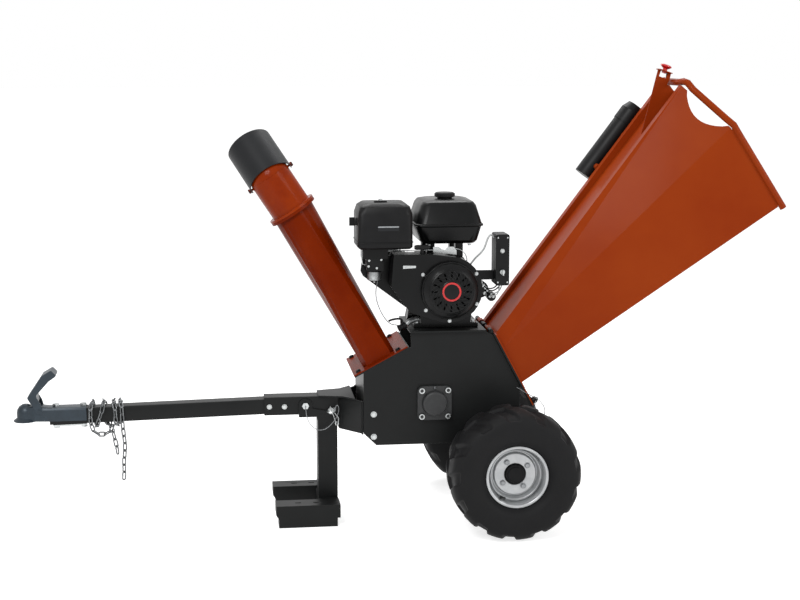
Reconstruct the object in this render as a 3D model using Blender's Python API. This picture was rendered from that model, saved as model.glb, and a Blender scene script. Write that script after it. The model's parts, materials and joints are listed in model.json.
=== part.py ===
"""Towable petrol wood chipper, modelled in metres with +Z up.

Sizes are read in the machine's own frame: X = 0 at the wheel axle and growing towards the
feed hopper, Y = 0 on the centre plane, Z = 0 on the ground. At the end the whole model
moves along X, so that the origin lies under the middle of its bounding box.
"""

import math

import bmesh
import bpy
from mathutils import Matrix, Vector
from mathutils.bvhtree import BVHTree

# Clearances
GAP = 0.0003
TURN_GAP = 0.002
BOLT_FIT = 0.0003

# Wheels
TRACK = 0.599
TYRE_RADIUS = 0.203
TYRE_HALF_WIDTH = 0.0945
LUG_HEIGHT = 0.009
LUG_COUNT = 13
RIM_SEAT_RADIUS = 0.0889
RIM_FLANGE_RADIUS = 0.0965
RIM_HALF_WIDTH = 0.0705
RIM_METAL = 0.003
RIM_HOLE_RADIUS = 0.0335
RIM_DISC_OFFSET = 0.030
HUB_BOLT_CIRCLE = 0.046
HUB_BOLT_COUNT = 4
STUB_RADIUS = 0.0125
AXLE_BEAM = 0.040
AXLE_BEAM_HALF = 0.180

# Rotor housing
HOUSING_HALF_WIDTH = 0.135
SIDE_PLATE = 0.005
SHEET = 0.004
FRONT_X = -0.445
FRONT_LOW_Z = 0.295
CHAMFER_X = -0.405
FLOOR_Z = 0.256
AXLE_DROP_X = -0.090
AXLE_FOOT_X = -0.055
AXLE_FOOT_Z = 0.165
REAR_X = 0.053
DECK_Z = 0.614
OUTLET_LOW_Z = 0.488
OUTLET_END_X = -0.296
OUTLET_LIP = 0.030
OUTLET_LEAN = math.radians(28)
THROAT_LOW_Z = 0.436
THROAT_HEIGHT = 0.186
THROAT_LEAN = math.radians(28)
DECK_LEFT_X = -0.300
DECK_RIGHT_X = -0.060
DECK_HALF_WIDTH = 0.150
DECK_PLATE = 0.006

# Rotor and drive
ROTOR_X = -0.222
ROTOR_Z = 0.390
SHAFT_RADIUS = 0.015
DRUM_RADIUS = 0.104
DRUM_HALF_WIDTH = 0.105
KNIFE_TIP_RADIUS = 0.115
KNIFE_COUNT = 2
BEARING_SQUARE = 0.108
BEARING_PITCH = 0.083
BEARING_FLANGE = 0.013
BELT_PLANE_Y = HOUSING_HALF_WIDTH + 0.041
BELT_WIDTH = 0.017
ROTOR_PULLEY_RADIUS = 0.078
CLUTCH_PULLEY_RADIUS = 0.052
BELT_THICK = 0.008
GUARD_SHEET = 0.0015
GUARD_OUTER_Y = BELT_PLANE_Y + 0.0225

# Tow gear
SLEEVE = 0.060
TUBE_WALL = 0.003
SLEEVE_Z = 0.366
SLEEVE_END_X = -0.751
BRACKET_X = -0.515
BRACKET_SHEET = 0.005
BRACKET_LOW_Z = 0.290
DRAWBAR = 0.050
DROOP_X = -0.676
DROOP = math.radians(-1.25)
DRAWBAR_INNER = 0.026
COUPLER_REAR = -0.631
BALL_X = -0.819
DRAWBAR_OUTER = BALL_X + 0.074
BALL_Z = 0.0145
BALL_RADIUS = 0.0255
COUPLER_SHEET = 0.003
HANDLE_PIVOT = (DROOP_X + BALL_X + 0.043, 0.0, 0.373)
COUPLER_BOLT_XS = (-0.726, -0.641)
M12_RADIUS = 0.006
M10_RADIUS = 0.005
BOLT_HEAD = 0.0075
TUBE_CORNER = 0.005
CHAIN_RADIUS = 0.0085
CHAIN_FIT = 0.0010
WRAP_STEPS = 4
LANYARD_RADIUS = 0.0012
PIN_WIRE = 0.002
PIN_RING_RADIUS = 0.013

# Parking leg
LEG_PIVOT_X = -0.621
LEG_PIVOT_Z = 0.367
LEG_PIN_X = -0.540
LEG_PIN_Z = 0.349
LEG_LEFT_X = -0.582
LEG_RIGHT_X = -0.5195
LEG_HALF_WIDTH = 0.0355
LEG_TOP_Z = 0.331
LEG_FOOT_Z = 0.064
CHEEK = 0.005
PAD_LEFT_X = -0.723
PAD_RIGHT_X = -0.520
PAD_TOP_Z = 0.071
PAD_INNER_Y = 0.079
PAD_OUTER_Y = 0.1465

# Discharge chute
CHUTE_SHEET = 0.0025
CHUTE_AXIS_LEAN = math.radians(33.2)
COLLAR_X = -0.654
COLLAR_Z = 0.9885
COLLAR_RADIUS = 0.0785
COLLAR_PLATE = 0.008
CHUTE_RADIUS = 0.065
CHUTE_BASE_LENGTH = 0.111
CHUTE_BASE_HALF_WIDTH = 0.102
UPPER_CHUTE_LENGTH = 0.122
HOOD_RADIUS = 0.074
HOOD_SHEET = 0.0025
HOOD_LENGTH = 0.140
HOOD_TILT = math.radians(35)

# Hopper
HOPPER_SHEET = 0.003
HOPPER_FLANGE = 0.004
TOP_HALF_WIDTH = 0.120
TOP_CHANNEL_HALF = 0.090
TOP_CHANNEL_DEPTH = 0.024
MOUTH_LOW = (0.846, 0.222, 1.002)
MOUTH_BEND = (0.688, 0.210, 1.248)
MOUTH_TOP = (0.556, 0.120, 1.375)
HOOP_RADIUS = 0.011
HINGE_RADIUS = 0.0075
HINGE_PIN_RADIUS = 0.004
HINGE_RISE = 0.012
CATCH_U = -0.066
CATCH_TOP_U = 0.006
CATCH_HALF = 0.0105
CATCH_Y = 0.128
LATCH_KNOB_RADIUS = 0.011
CATCH_HOLE_RADIUS = 0.0045
LATCH_RADIUS = 0.0036
DOCUMENT_RADIUS = 0.036
DOCUMENT_LENGTH = 0.235
DOCUMENT_CAP_LENGTH = 0.070
SADDLE_PLACES = (0.045, 0.180)
SADDLE_RADIUS = 0.010

# Engine
CRANK_X = -0.178
CRANK_Z = 0.750
CASE_HALF_WIDTH = 0.102
CASE_NEAR_Y = -0.090
CASE_FAR_Y = 0.095
CYLINDER_LEAN = math.radians(20)
FIN_COUNT = 7
CYLINDER_START = 0.118
FIN_PITCH = 0.013
HEAD_HALF = 0.046
SHROUD_FRONT_Y = -0.158
SHROUD_BACK_Y = -0.0903
SHROUD_SHEET = 0.002
SHROUD_TOP_Z = 0.862
RECOIL_RADIUS = 0.090
RECOIL_DEPTH = 0.040
LOUVRE_COUNT = 16
TANK_LOW_Z = 0.888
TANK_TOP_Z = 1.022

STEPS = 20
SMALL_STEPS = 12

MATERIALS = {
    "black_paint": ((0.020, 0.021, 0.023), 0.2, 0.45),
    "orange_paint": ((0.330, 0.052, 0.014), 0.1, 0.30),
    "coupler_paint": ((0.075, 0.115, 0.150), 0.4, 0.40),
    "zinc": ((0.480, 0.490, 0.500), 0.9, 0.35),
    "steel": ((0.300, 0.310, 0.320), 1.0, 0.35),
    "cast_iron": ((0.050, 0.050, 0.052), 0.7, 0.60),
    "tyre_rubber": ((0.012, 0.012, 0.012), 0.0, 0.80),
    "rim_silver": ((0.400, 0.400, 0.405), 0.6, 0.35),
    "hub_black": ((0.020, 0.020, 0.022), 0.5, 0.45),
    "engine_black": ((0.012, 0.012, 0.013), 0.3, 0.40),
    "engine_alloy": ((0.350, 0.355, 0.360), 0.8, 0.50),
    "black_plastic": ((0.014, 0.014, 0.016), 0.0, 0.50),
    "grey_plastic": ((0.050, 0.052, 0.056), 0.0, 0.50),
    "red_plastic": ((0.560, 0.010, 0.015), 0.0, 0.30),
    "belt_rubber": ((0.010, 0.010, 0.010), 0.0, 0.85),
}


def clear_scene():
    """Remove whatever the scene holds."""
    for item in list(bpy.data.objects):
        bpy.data.objects.remove(item, do_unlink=True)


def make_materials():
    """One Principled material for each slot."""
    made = {}
    for name, (colour, metallic, roughness) in MATERIALS.items():
        material = bpy.data.materials.new(name)
        material.use_nodes = True
        shader = material.node_tree.nodes["Principled BSDF"]
        shader.inputs["Base Color"].default_value = (*colour, 1.0)
        shader.inputs["Metallic"].default_value = metallic
        shader.inputs["Roughness"].default_value = roughness
        material.diffuse_color = (*colour, 1.0)
        made[name] = material
    return made


# Shapes: each function returns a closed mesh


def closed_mesh(verts, faces):
    """A mesh with its faces turned outwards."""
    shape = bmesh.new()
    made = [shape.verts.new(point) for point in verts]
    for face in faces:
        shape.faces.new([made[index] for index in face])
    bmesh.ops.recalc_face_normals(shape, faces=shape.faces)
    mesh = bpy.data.meshes.new("shape")
    shape.to_mesh(mesh)
    shape.free()
    return mesh


def loft(rings, capped=True):
    """Bridge rings of equal point count, and close both ends."""
    count = len(rings[0])
    verts = [point for ring in rings for point in ring]
    faces = []
    for level in range(len(rings) - 1):
        for index in range(count):
            following = (index + 1) % count
            low = level * count
            high = low + count
            faces.append((low + index, low + following, high + following, high + index))
    if capped:
        faces.append(tuple(range(count)))
        last = (len(rings) - 1) * count
        faces.append(tuple(range(last, last + count)))
    return closed_mesh(verts, faces)


def loop_loft(rings):
    """Bridge rings into a closed loop, such as a wall with an inside and an outside."""
    count = len(rings[0])
    total = len(rings)
    verts = [point for ring in rings for point in ring]
    faces = []
    for level in range(total):
        for index in range(count):
            following = (index + 1) % count
            low = level * count
            high = ((level + 1) % total) * count
            faces.append((low + index, low + following, high + following, high + index))
    return closed_mesh(verts, faces)


def prism(outline, low, high, axis="Y"):
    """Extrude a flat outline along an axis."""
    def place(point, height):
        first, second = point
        if axis == "Y":
            return (first, height, second)
        if axis == "X":
            return (height, first, second)
        return (first, second, height)
    return loft([[place(p, low) for p in outline], [place(p, high) for p in outline]])


def box(x_range, y_range, z_range):
    """A plain block between three pairs of limits."""
    outline = [(x_range[0], y_range[0]), (x_range[1], y_range[0]),
               (x_range[1], y_range[1]), (x_range[0], y_range[1])]
    return prism(outline, z_range[0], z_range[1], axis="Z")


def rounded(points, radius, steps=4):
    """Round the corners of a closed outline with arcs."""
    result = []
    count = len(points)
    for index in range(count):
        corner = Vector(points[index])
        before = Vector(points[index - 1]) - corner
        after = Vector(points[(index + 1) % count]) - corner
        size = radius[index] if isinstance(radius, (list, tuple)) else radius
        angle = before.angle(after)
        if size <= 0 or angle > math.radians(179):
            result.append(tuple(corner))
            continue
        reach = min(size / math.tan(angle / 2), before.length * 0.49, after.length * 0.49)
        start = corner + before.normalized() * reach
        end = corner + after.normalized() * reach
        for step in range(steps + 1):
            t = step / steps
            point = start * (1 - t) ** 2 + corner * (2 * t * (1 - t)) + end * t ** 2
            result.append(tuple(point))
    return result


def rectangle(half_x, half_y, radius=0.0, steps=3, centre=(0.0, 0.0)):
    """A rectangle with round corners, about a centre."""
    cx, cy = centre
    points = [(cx - half_x, cy - half_y), (cx + half_x, cy - half_y),
              (cx + half_x, cy + half_y), (cx - half_x, cy + half_y)]
    return rounded(points, radius, steps) if radius > 0 else points


def strip(path, thick):
    """The outline of a bent sheet with its middle along a path."""
    left = []
    right = []
    for index, point in enumerate(path):
        here = Vector(point)
        normals = []
        if index > 0:
            run = (here - Vector(path[index - 1])).normalized()
            normals.append(Vector((-run.y, run.x)))
        if index < len(path) - 1:
            run = (Vector(path[index + 1]) - here).normalized()
            normals.append(Vector((-run.y, run.x)))
        side = sum(normals, Vector((0.0, 0.0))).normalized()
        reach = thick / 2 / side.dot(normals[0])
        left.append(tuple(here + side * reach))
        right.append(tuple(here - side * reach))
    return left + right[::-1]


def inset(points, distance):
    """Move an anticlockwise outline inwards."""
    result = []
    count = len(points)
    for index in range(count):
        here = Vector(points[index])
        run_in = (here - Vector(points[index - 1])).normalized()
        run_out = (Vector(points[(index + 1) % count]) - here).normalized()
        side_in = Vector((-run_in.y, run_in.x))
        side = (side_in + Vector((-run_out.y, run_out.x))).normalized()
        result.append(tuple(here + side * (distance / side.dot(side_in))))
    return result


def circle(radius, steps=STEPS, centre=(0.0, 0.0), start=0.0):
    """Points of a circle, anticlockwise."""
    turn = 2 * math.pi / steps
    return [(centre[0] + radius * math.cos(start + turn * i),
             centre[1] + radius * math.sin(start + turn * i)) for i in range(steps)]


def arc(radius, start, end, steps, centre=(0.0, 0.0)):
    """Points of an arc between two angles in degrees."""
    span = math.radians(end - start)
    first = math.radians(start)
    return [(centre[0] + radius * math.cos(first + span * i / steps),
             centre[1] + radius * math.sin(first + span * i / steps)) for i in range(steps + 1)]


def turned(profile, steps=STEPS, ring=False):
    """Turn a profile of (radius, height) about Z. A ring profile closes on itself."""
    verts = []
    faces = []
    rows = []
    for radius, height in profile:
        if radius < 1e-6:
            rows.append([len(verts)])
            verts.append((0.0, 0.0, height))
            continue
        rows.append(list(range(len(verts), len(verts) + steps)))
        verts.extend((x, y, height) for x, y in circle(radius, steps))
    pairs = list(zip(rows, rows[1:]))
    if ring:
        pairs.append((rows[-1], rows[0]))
    for low, high in pairs:
        for index in range(steps):
            following = (index + 1) % steps
            corners = [low[index % len(low)], low[following % len(low)],
                       high[following % len(high)], high[index % len(high)]]
            faces.append(tuple(dict.fromkeys(corners)))
    return closed_mesh(verts, [face for face in faces if len(face) > 2])


def aimed(origin, direction):
    """The matrix that takes Z to a direction, with its base at an origin."""
    turn = Vector((0, 0, 1)).rotation_difference(Vector(direction).normalized())
    return Matrix.Translation(origin) @ turn.to_matrix().to_4x4()


def moved(mesh, matrix):
    """Place a mesh."""
    mesh.transform(matrix)
    return mesh


def rod(start, end, radius, steps=SMALL_STEPS):
    """A round bar between two points."""
    run = Vector(end) - Vector(start)
    outline = circle(radius, steps, start=0.13)
    shape = loft([[(x, y, 0.0) for x, y in outline], [(x, y, run.length) for x, y in outline]])
    return moved(shape, aimed(start, run))


def y_rod(x, z, radius, low, high, steps=SMALL_STEPS):
    """A round bar along Y."""
    return rod((x, low, z), (x, high, z), radius, steps)


def bolt(start, end, radius, head=BOLT_HEAD, nut=0.0):
    """A hexagon bolt from its head at the start to its tip or nut at the end."""
    run = Vector(end) - Vector(start)

    def ring(size, height):
        return [(x, y, height) for x, y in circle(size, 6)]

    rings = [ring(radius * 1.85, -head), ring(radius * 1.85, 0.0), ring(radius, 0.0), ring(radius, run.length)]
    if nut > 0:
        rings += [ring(radius * 1.85, run.length), ring(radius * 1.85, run.length + nut)]
    return moved(loft(rings), aimed(start, run))


def combined(mesh, others, operation):
    """Apply a Boolean of one mesh with each of the others."""
    base = bpy.data.objects.new("base", mesh)
    bpy.context.collection.objects.link(base)
    tools = []
    for other in others:
        tool = bpy.data.objects.new("tool", other)
        bpy.context.collection.objects.link(tool)
        tools.append(tool)
        modifier = base.modifiers.new("tool", "BOOLEAN")
        modifier.operation = operation
        modifier.solver = "EXACT"
        modifier.object = tool
    graph = bpy.context.evaluated_depsgraph_get()
    result = bpy.data.meshes.new_from_object(base.evaluated_get(graph))
    for item in [base] + tools:
        bpy.data.objects.remove(item, do_unlink=True)
    shape = bmesh.new()
    shape.from_mesh(result)
    bmesh.ops.remove_doubles(shape, verts=shape.verts, dist=0.000005)
    bmesh.ops.triangulate(shape, faces=[f for f in shape.faces if len(f.verts) > 4], ngon_method="EAR_CLIP")
    shape.to_mesh(result)
    shape.free()
    return result


def triangulated(mesh):
    """Split every face into triangles, so that twisted ones stay where they are."""
    shape = bmesh.new()
    shape.from_mesh(mesh)
    bmesh.ops.triangulate(shape, faces=shape.faces)
    shape.to_mesh(mesh)
    shape.free()
    return mesh


def cut(mesh, cutters):
    """Cut holes."""
    return combined(mesh, cutters, "DIFFERENCE")


def fuse(mesh, others):
    """Weld solids together."""
    return combined(mesh, others, "UNION")


def body(name, pivot, parent):
    """An empty on a joint's axis that carries the pieces that move together."""
    empty = bpy.data.objects.new(name, None)
    bpy.context.collection.objects.link(empty)
    empty.empty_display_size = 0.05
    empty.parent = parent["empty"] if parent else None
    offset = parent["pivot"] if parent else Vector((0, 0, 0))
    empty.location = Vector(pivot) - offset
    return {"empty": empty, "pivot": Vector(pivot)}


def node(name, mesh, slot, owner, sharp=35):
    """One named piece on its body, with its material and smooth shading."""
    mesh.transform(Matrix.Translation(-owner["pivot"]))
    mesh.name = name
    mesh.materials.clear()
    mesh.materials.append(PAINTS[slot])
    for face in mesh.polygons:
        face.material_index = 0
    mesh.shade_smooth()
    mesh.set_sharp_from_angle(angle=math.radians(sharp))
    piece = bpy.data.objects.new(name, mesh)
    bpy.context.collection.objects.link(piece)
    piece.parent = owner["empty"]
    return piece


# Frames of the slanted joints


def slanted(origin, lean):
    """A frame with X along the slope, Y across and Z square to the slope."""
    turn = Matrix.Rotation(-lean, 4, "Y")
    return Matrix.Translation((origin[0], 0.0, origin[1])) @ turn


OUTLET = slanted((FRONT_X, OUTLET_LOW_Z), OUTLET_LEAN)
OUTLET_LENGTH = (OUTLET_END_X - FRONT_X) / math.cos(OUTLET_LEAN)
OUTLET_END_Z = OUTLET_LOW_Z + (OUTLET_END_X - FRONT_X) * math.tan(OUTLET_LEAN)
THROAT_TOP_X = REAR_X - THROAT_HEIGHT * math.sin(THROAT_LEAN)
THROAT_TOP_Z = THROAT_LOW_Z + THROAT_HEIGHT * math.cos(THROAT_LEAN)
THROAT = slanted((REAR_X, THROAT_LOW_Z), math.radians(90) + THROAT_LEAN) @ Matrix.Rotation(math.pi, 4, "X")
DRAW_FRAME = Matrix.Translation((DROOP_X, 0.0, SLEEVE_Z)) @ Matrix.Rotation(DROOP, 4, "Y")
CHUTE_AXIS = Vector((-math.sin(CHUTE_AXIS_LEAN), 0.0, math.cos(CHUTE_AXIS_LEAN)))
COLLAR = Vector((COLLAR_X, 0.0, COLLAR_Z))
COLLAR_FRAME = Matrix.Translation(COLLAR) @ Matrix.Rotation(-CHUTE_AXIS_LEAN, 4, "Y")
HINGE = THROAT @ Vector((THROAT_HEIGHT + HINGE_RISE, 0.0, 0.0))
CYLINDER_FRAME = aimed((CRANK_X, 0.0, CRANK_Z), (-math.cos(CYLINDER_LEAN), 0.0, math.sin(CYLINDER_LEAN)))
WHEEL_Y = TRACK / 2
PLATE_INNER = HOUSING_HALF_WIDTH - SIDE_PLATE
DECK_TOP = DECK_Z + GAP + DECK_PLATE


def make_side_plates(chassis):
    """Two cut plates that carry the rotor, the axle and the engine deck."""
    outline = [(FRONT_X, OUTLET_LOW_Z), (FRONT_X, FRONT_LOW_Z), (CHAMFER_X, FLOOR_Z),
               (AXLE_DROP_X, FLOOR_Z), (AXLE_FOOT_X, AXLE_FOOT_Z), (REAR_X, AXLE_FOOT_Z),
               (REAR_X, THROAT_LOW_Z), (THROAT_TOP_X, THROAT_TOP_Z), (-0.062, DECK_Z),
               (OUTLET_END_X, DECK_Z), (OUTLET_END_X, OUTLET_END_Z)]
    for name, side in (("side_plate_near", -1), ("side_plate_far", 1)):
        low, high = sorted((side * PLATE_INNER, side * HOUSING_HALF_WIDTH))
        reach = (low - 0.01, high + 0.01)
        half = AXLE_BEAM / 2 + GAP
        cutters = [box((-half, half), reach, (TYRE_RADIUS - half, TYRE_RADIUS + half)),
                   y_rod(ROTOR_X, ROTOR_Z, SHAFT_RADIUS + 0.004, *reach)]
        node(name, cut(prism(outline, low, high), cutters), "black_paint", chassis)


def make_rotor_housing(chassis):
    """The bent sheets between the side plates, with the outlet flange on top."""
    half = PLATE_INNER - GAP
    wall = SHEET / 2
    front = FRONT_X + GAP + wall
    start_z = OUTLET_LOW_Z + 0.0035
    scroll = [(front, start_z), (front, FRONT_LOW_Z + 0.002), (CHAMFER_X + 0.001, FLOOR_Z + wall),
              (ROTOR_X + 0.108, FLOOR_Z + wall), (ROTOR_X + 0.129, 0.287), (ROTOR_X + 0.129, 0.352),
              (REAR_X - 0.006, THROAT_LOW_Z - 0.001)]
    cover = [(OUTLET_END_X - 0.0440, OUTLET_END_Z - 0.0205), (-0.318, 0.478)]
    cover += arc(KNIFE_TIP_RADIUS + 0.012, 132, 62, 6, (ROTOR_X, ROTOR_Z))
    cover.append((THROAT_TOP_X - 0.006, THROAT_TOP_Z - 0.009))
    flange = box((-OUTLET_LIP, OUTLET_LENGTH - 0.004), (-HOUSING_HALF_WIDTH, HOUSING_HALF_WIDTH),
                 (GAP, GAP + SHEET))
    window = box((0.008, 0.008 + CHUTE_BASE_LENGTH),
                 (-CHUTE_BASE_HALF_WIDTH, CHUTE_BASE_HALF_WIDTH), (-0.01, 0.02))
    flange = moved(cut(flange, [window]), OUTLET)
    wrap = prism(strip(scroll, SHEET), -half, half)
    node("rotor_housing", fuse(flange, [wrap, prism(strip(cover, 0.003), -half, half)]), "black_paint", chassis)


def make_throat_flange(chassis):
    """The slanted frame at the feed throat, with its half of the hinge and the pin."""
    outer = DECK_HALF_WIDTH - 0.002
    frame = box((-0.010, THROAT_HEIGHT), (-outer, outer), (GAP, GAP + SIDE_PLATE))
    window = box((0.008, THROAT_HEIGHT - 0.008), (-PLATE_INNER + 0.004, PLATE_INNER - 0.004), (-0.02, 0.03))
    frame = cut(frame, [window])
    lugs = []
    for y in (-0.110, 0.0, 0.110):
        lugs.append(box((THROAT_HEIGHT - 0.004, THROAT_HEIGHT + HINGE_RISE), (y - 0.016, y + 0.016),
                        (GAP, GAP + SIDE_PLATE)))
        lugs.append(rod((THROAT_HEIGHT + HINGE_RISE, y - 0.016, 0.0),
                        (THROAT_HEIGHT + HINGE_RISE, y + 0.016, 0.0), HINGE_RADIUS))
    lugs.append(rod((THROAT_HEIGHT + HINGE_RISE, -0.132, 0.0),
                    (THROAT_HEIGHT + HINGE_RISE, 0.132, 0.0), HINGE_PIN_RADIUS, 12))
    catch = box((CATCH_U - CATCH_HALF, CATCH_TOP_U), (CATCH_Y - CATCH_HALF, CATCH_Y + CATCH_HALF),
                (GAP, GAP + SIDE_PLATE))
    catch_hole = rod((CATCH_U, CATCH_Y, -0.02), (CATCH_U, CATCH_Y, 0.02), CATCH_HOLE_RADIUS)
    frame = cut(fuse(frame, lugs + [catch]), [catch_hole])
    node("throat_flange", moved(frame, THROAT), "black_paint", chassis)


def make_deck(chassis):
    """The plate that the engine stands on."""
    plate = box((DECK_LEFT_X, DECK_RIGHT_X), (-DECK_HALF_WIDTH, HOUSING_HALF_WIDTH), (DECK_Z + GAP, DECK_TOP))
    node("engine_deck", plate, "black_paint", chassis)


def make_anvil(chassis):
    """The fixed blade that the rotor knives pass."""
    run = Vector((REAR_X - 0.006 - (ROTOR_X + 0.129), THROAT_LOW_Z - 0.001 - 0.352))
    lean = math.atan2(run.y, run.x)
    frame = slanted((ROTOR_X + 0.129, 0.352), lean)
    bar = box((-0.0085, 0.042), (-PLATE_INNER + 0.001, PLATE_INNER - 0.001),
              (SHEET / 2 + GAP, SHEET / 2 + GAP + 0.012))
    node("anvil_bar", moved(bar, frame), "steel", chassis)


def make_bearings(chassis):
    """Square flange bearings, bolted outside the plates. The near one has a closed cap."""
    half = BEARING_SQUARE / 2
    outline = rectangle(half, half, 0.020, 4)
    for name, side, closed in (("bearing_near", -1, True), ("bearing_far", 1, False)):
        start = HOUSING_HALF_WIDTH + GAP
        plate = prism(outline, 0.0, BEARING_FLANGE, axis="Z")
        tall = 0.030 if closed else 0.019
        boss = turned([(0.0, 0.004), (0.042, 0.004), (0.041, BEARING_FLANGE + 0.002), (0.038, tall - 0.003),
                       (0.034, tall), (0.0, tall)], 24)
        bore_end = tall - 0.006 if closed else tall + 0.01
        bore = rod((0, 0, -0.01), (0, 0, bore_end), SHAFT_RADIUS + GAP, STEPS)
        pitch = BEARING_PITCH / 2
        heads = [rod((sx * pitch, sy * pitch, 0.004), (sx * pitch, sy * pitch, BEARING_FLANGE + 0.0075),
                     M10_RADIUS * 1.85, 6) for sx in (-1, 1) for sy in (-1, 1)]
        shape = cut(fuse(plate, [boss] + heads), [bore])
        place = aimed((ROTOR_X, side * start, ROTOR_Z), (0, side, 0))
        node(name, moved(shape, place), "cast_iron", chassis)


def make_axle(chassis):
    """A square beam through both plates with a turned stub at each end."""
    half = AXLE_BEAM / 2
    beam = box((-half, half), (-AXLE_BEAM_HALF, AXLE_BEAM_HALF), (TYRE_RADIUS - half, TYRE_RADIUS + half))
    stubs = []
    for side in (-1, 1):
        profile = [(0.0, AXLE_BEAM_HALF - 0.01), (0.018, AXLE_BEAM_HALF - 0.01),
                   (0.018, WHEEL_Y - 0.0455), (STUB_RADIUS, WHEEL_Y - 0.0455),
                   (STUB_RADIUS, WHEEL_Y + 0.030), (0.0, WHEEL_Y + 0.030)]
        stubs.append(moved(turned(profile, 20), aimed((0, 0, TYRE_RADIUS), (0, side, 0))))
    node("axle_beam", fuse(beam, stubs), "black_paint", chassis)


def tyre_mesh():
    """A tyre with two staggered rows of lugs, turned from its section."""
    half = TYRE_HALF_WIDTH
    base = TYRE_RADIUS - LUG_HEIGHT
    seat = RIM_SEAT_RADIUS + GAP
    flange = RIM_FLANGE_RADIUS + 0.0015
    bead = RIM_HALF_WIDTH - 0.0045
    outer = [(seat, bead - 0.010), (seat, bead), (flange, bead), (flange + 0.002, bead + 0.007),
             (0.125, half - 0.004), (0.158, half), (0.182, half - 0.006)]
    crown = [(TYRE_RADIUS - 0.007, half - 0.016), (TYRE_RADIUS, half - 0.036), (TYRE_RADIUS, 0.012)]
    section = outer + crown + [(r, -h) for r, h in reversed(crown)] + [(r, -h) for r, h in reversed(outer)]
    inner = [(0.112, -0.052), (0.150, -half + 0.010), (base - 0.007, -half + 0.026),
             (base - 0.007, half - 0.026), (0.150, half - 0.010), (0.112, 0.052)]
    steps = LUG_COUNT * 3
    rings = []
    for radius, height in section + inner:
        ring = []
        for index in range(steps):
            phase = (index + (1 if height < 0 else 0)) % 3
            size = radius
            if radius > base and phase == 2:
                size = min(radius, base)
            angle = 2 * math.pi * index / steps
            ring.append((size * math.cos(angle), size * math.sin(angle), height))
        rings.append(ring)
    return loop_loft(rings)


def rim_mesh():
    """A pressed rim: two flanges, a drop centre and a stepped disc with its bolt heads."""
    seat = RIM_SEAT_RADIUS
    edge = RIM_HALF_WIDTH
    bead = edge - 0.004
    under = seat - RIM_METAL
    disc = RIM_DISC_OFFSET
    profile = [(RIM_FLANGE_RADIUS, -bead), (seat, -bead), (seat, -0.040), (0.080, -0.030), (0.080, -0.004),
               (seat, 0.010), (seat, bead), (RIM_FLANGE_RADIUS, bead), (RIM_FLANGE_RADIUS, edge),
               (under, edge), (under, 0.050), (0.078, 0.042), (0.066, 0.039), (0.062, disc),
               (RIM_HOLE_RADIUS, disc), (RIM_HOLE_RADIUS, disc - RIM_METAL), (0.060, disc - RIM_METAL),
               (0.0645, 0.0355), (0.0765, 0.0365), (0.0765, -0.031), (under, -0.042), (under, -edge),
               (RIM_FLANGE_RADIUS, -edge)]
    heads = [rod((x, y, disc - RIM_METAL / 2), (x, y, disc + 0.0085), M12_RADIUS * 1.85, 6)
             for x, y in circle(HUB_BOLT_CIRCLE, HUB_BOLT_COUNT, start=0.6)]
    return fuse(turned(profile, STEPS, ring=True), heads)


def hub_mesh():
    """A hub with its bearing barrel and dust cap."""
    face = RIM_DISC_OFFSET - RIM_METAL - GAP
    bore = STUB_RADIUS + GAP
    profile = [(bore, -0.045), (0.026, -0.045), (0.028, face - 0.012), (0.058, face - 0.008), (0.058, face),
               (0.030, face), (0.030, 0.040), (0.024, 0.044), (0.0, 0.045), (0.0, 0.033), (bore, 0.033)]
    return turned(profile, STEPS, ring=True)


def make_wheels(chassis):
    """Both wheels, each with tyre, rim and hub on its own joint."""
    for tag, side in (("near", -1), ("far", 1)):
        centre = (0.0, side * WHEEL_Y, TYRE_RADIUS)
        wheel = body("wheel_" + tag + "_axis", centre, chassis)
        place = aimed(centre, (0, side, 0))
        node("tyre_" + tag, moved(tyre_mesh(), place), "tyre_rubber", wheel)
        node("rim_" + tag, moved(rim_mesh(), place), "rim_silver", wheel)
        node("hub_" + tag, moved(hub_mesh(), place), "hub_black", wheel)


def make_rotor(chassis):
    """Shaft, drum, knives and pulley, which turn together."""
    rotor = body("rotor_axis", (ROTOR_X, 0.0, ROTOR_Z), chassis)
    near_end = -(HOUSING_HALF_WIDTH + GAP + 0.022)
    far_end = BELT_PLANE_Y + BELT_WIDTH / 2 + 0.004
    half = DRUM_HALF_WIDTH
    drum = turned([(0.0, near_end), (SHAFT_RADIUS, near_end), (SHAFT_RADIUS, -half), (DRUM_RADIUS, -half),
                   (DRUM_RADIUS, half), (SHAFT_RADIUS, half), (SHAFT_RADIUS, far_end), (0.0, far_end)])
    drum = moved(drum, aimed((ROTOR_X, 0, ROTOR_Z), (0, 1, 0)))
    seats = []
    for index in range(KNIFE_COUNT):
        angle = math.radians(50) + index * 2 * math.pi / KNIFE_COUNT
        frame = Matrix.Translation((ROTOR_X, 0, ROTOR_Z)) @ Matrix.Rotation(angle, 4, "Y")
        seat = [(0.070, 0.0), (0.130, 0.0), (0.130, 0.050), (0.102, 0.045), (0.070, 0.014)]
        seats.append(moved(prism(seat, -half - 0.01, half + 0.01), frame))
        blade = [(0.072, GAP), (KNIFE_TIP_RADIUS - 0.001, GAP), (KNIFE_TIP_RADIUS - 0.010, 0.010),
                 (0.072, 0.010)]
        node("rotor_knife_%d" % (index + 1), moved(prism(blade, -half, half), frame), "steel", rotor)
    node("rotor_drum", cut(drum, seats), "cast_iron", rotor)
    node("rotor_pulley", pulley_mesh(ROTOR_PULLEY_RADIUS, SHAFT_RADIUS, ROTOR_X, ROTOR_Z), "cast_iron", rotor)


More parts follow.
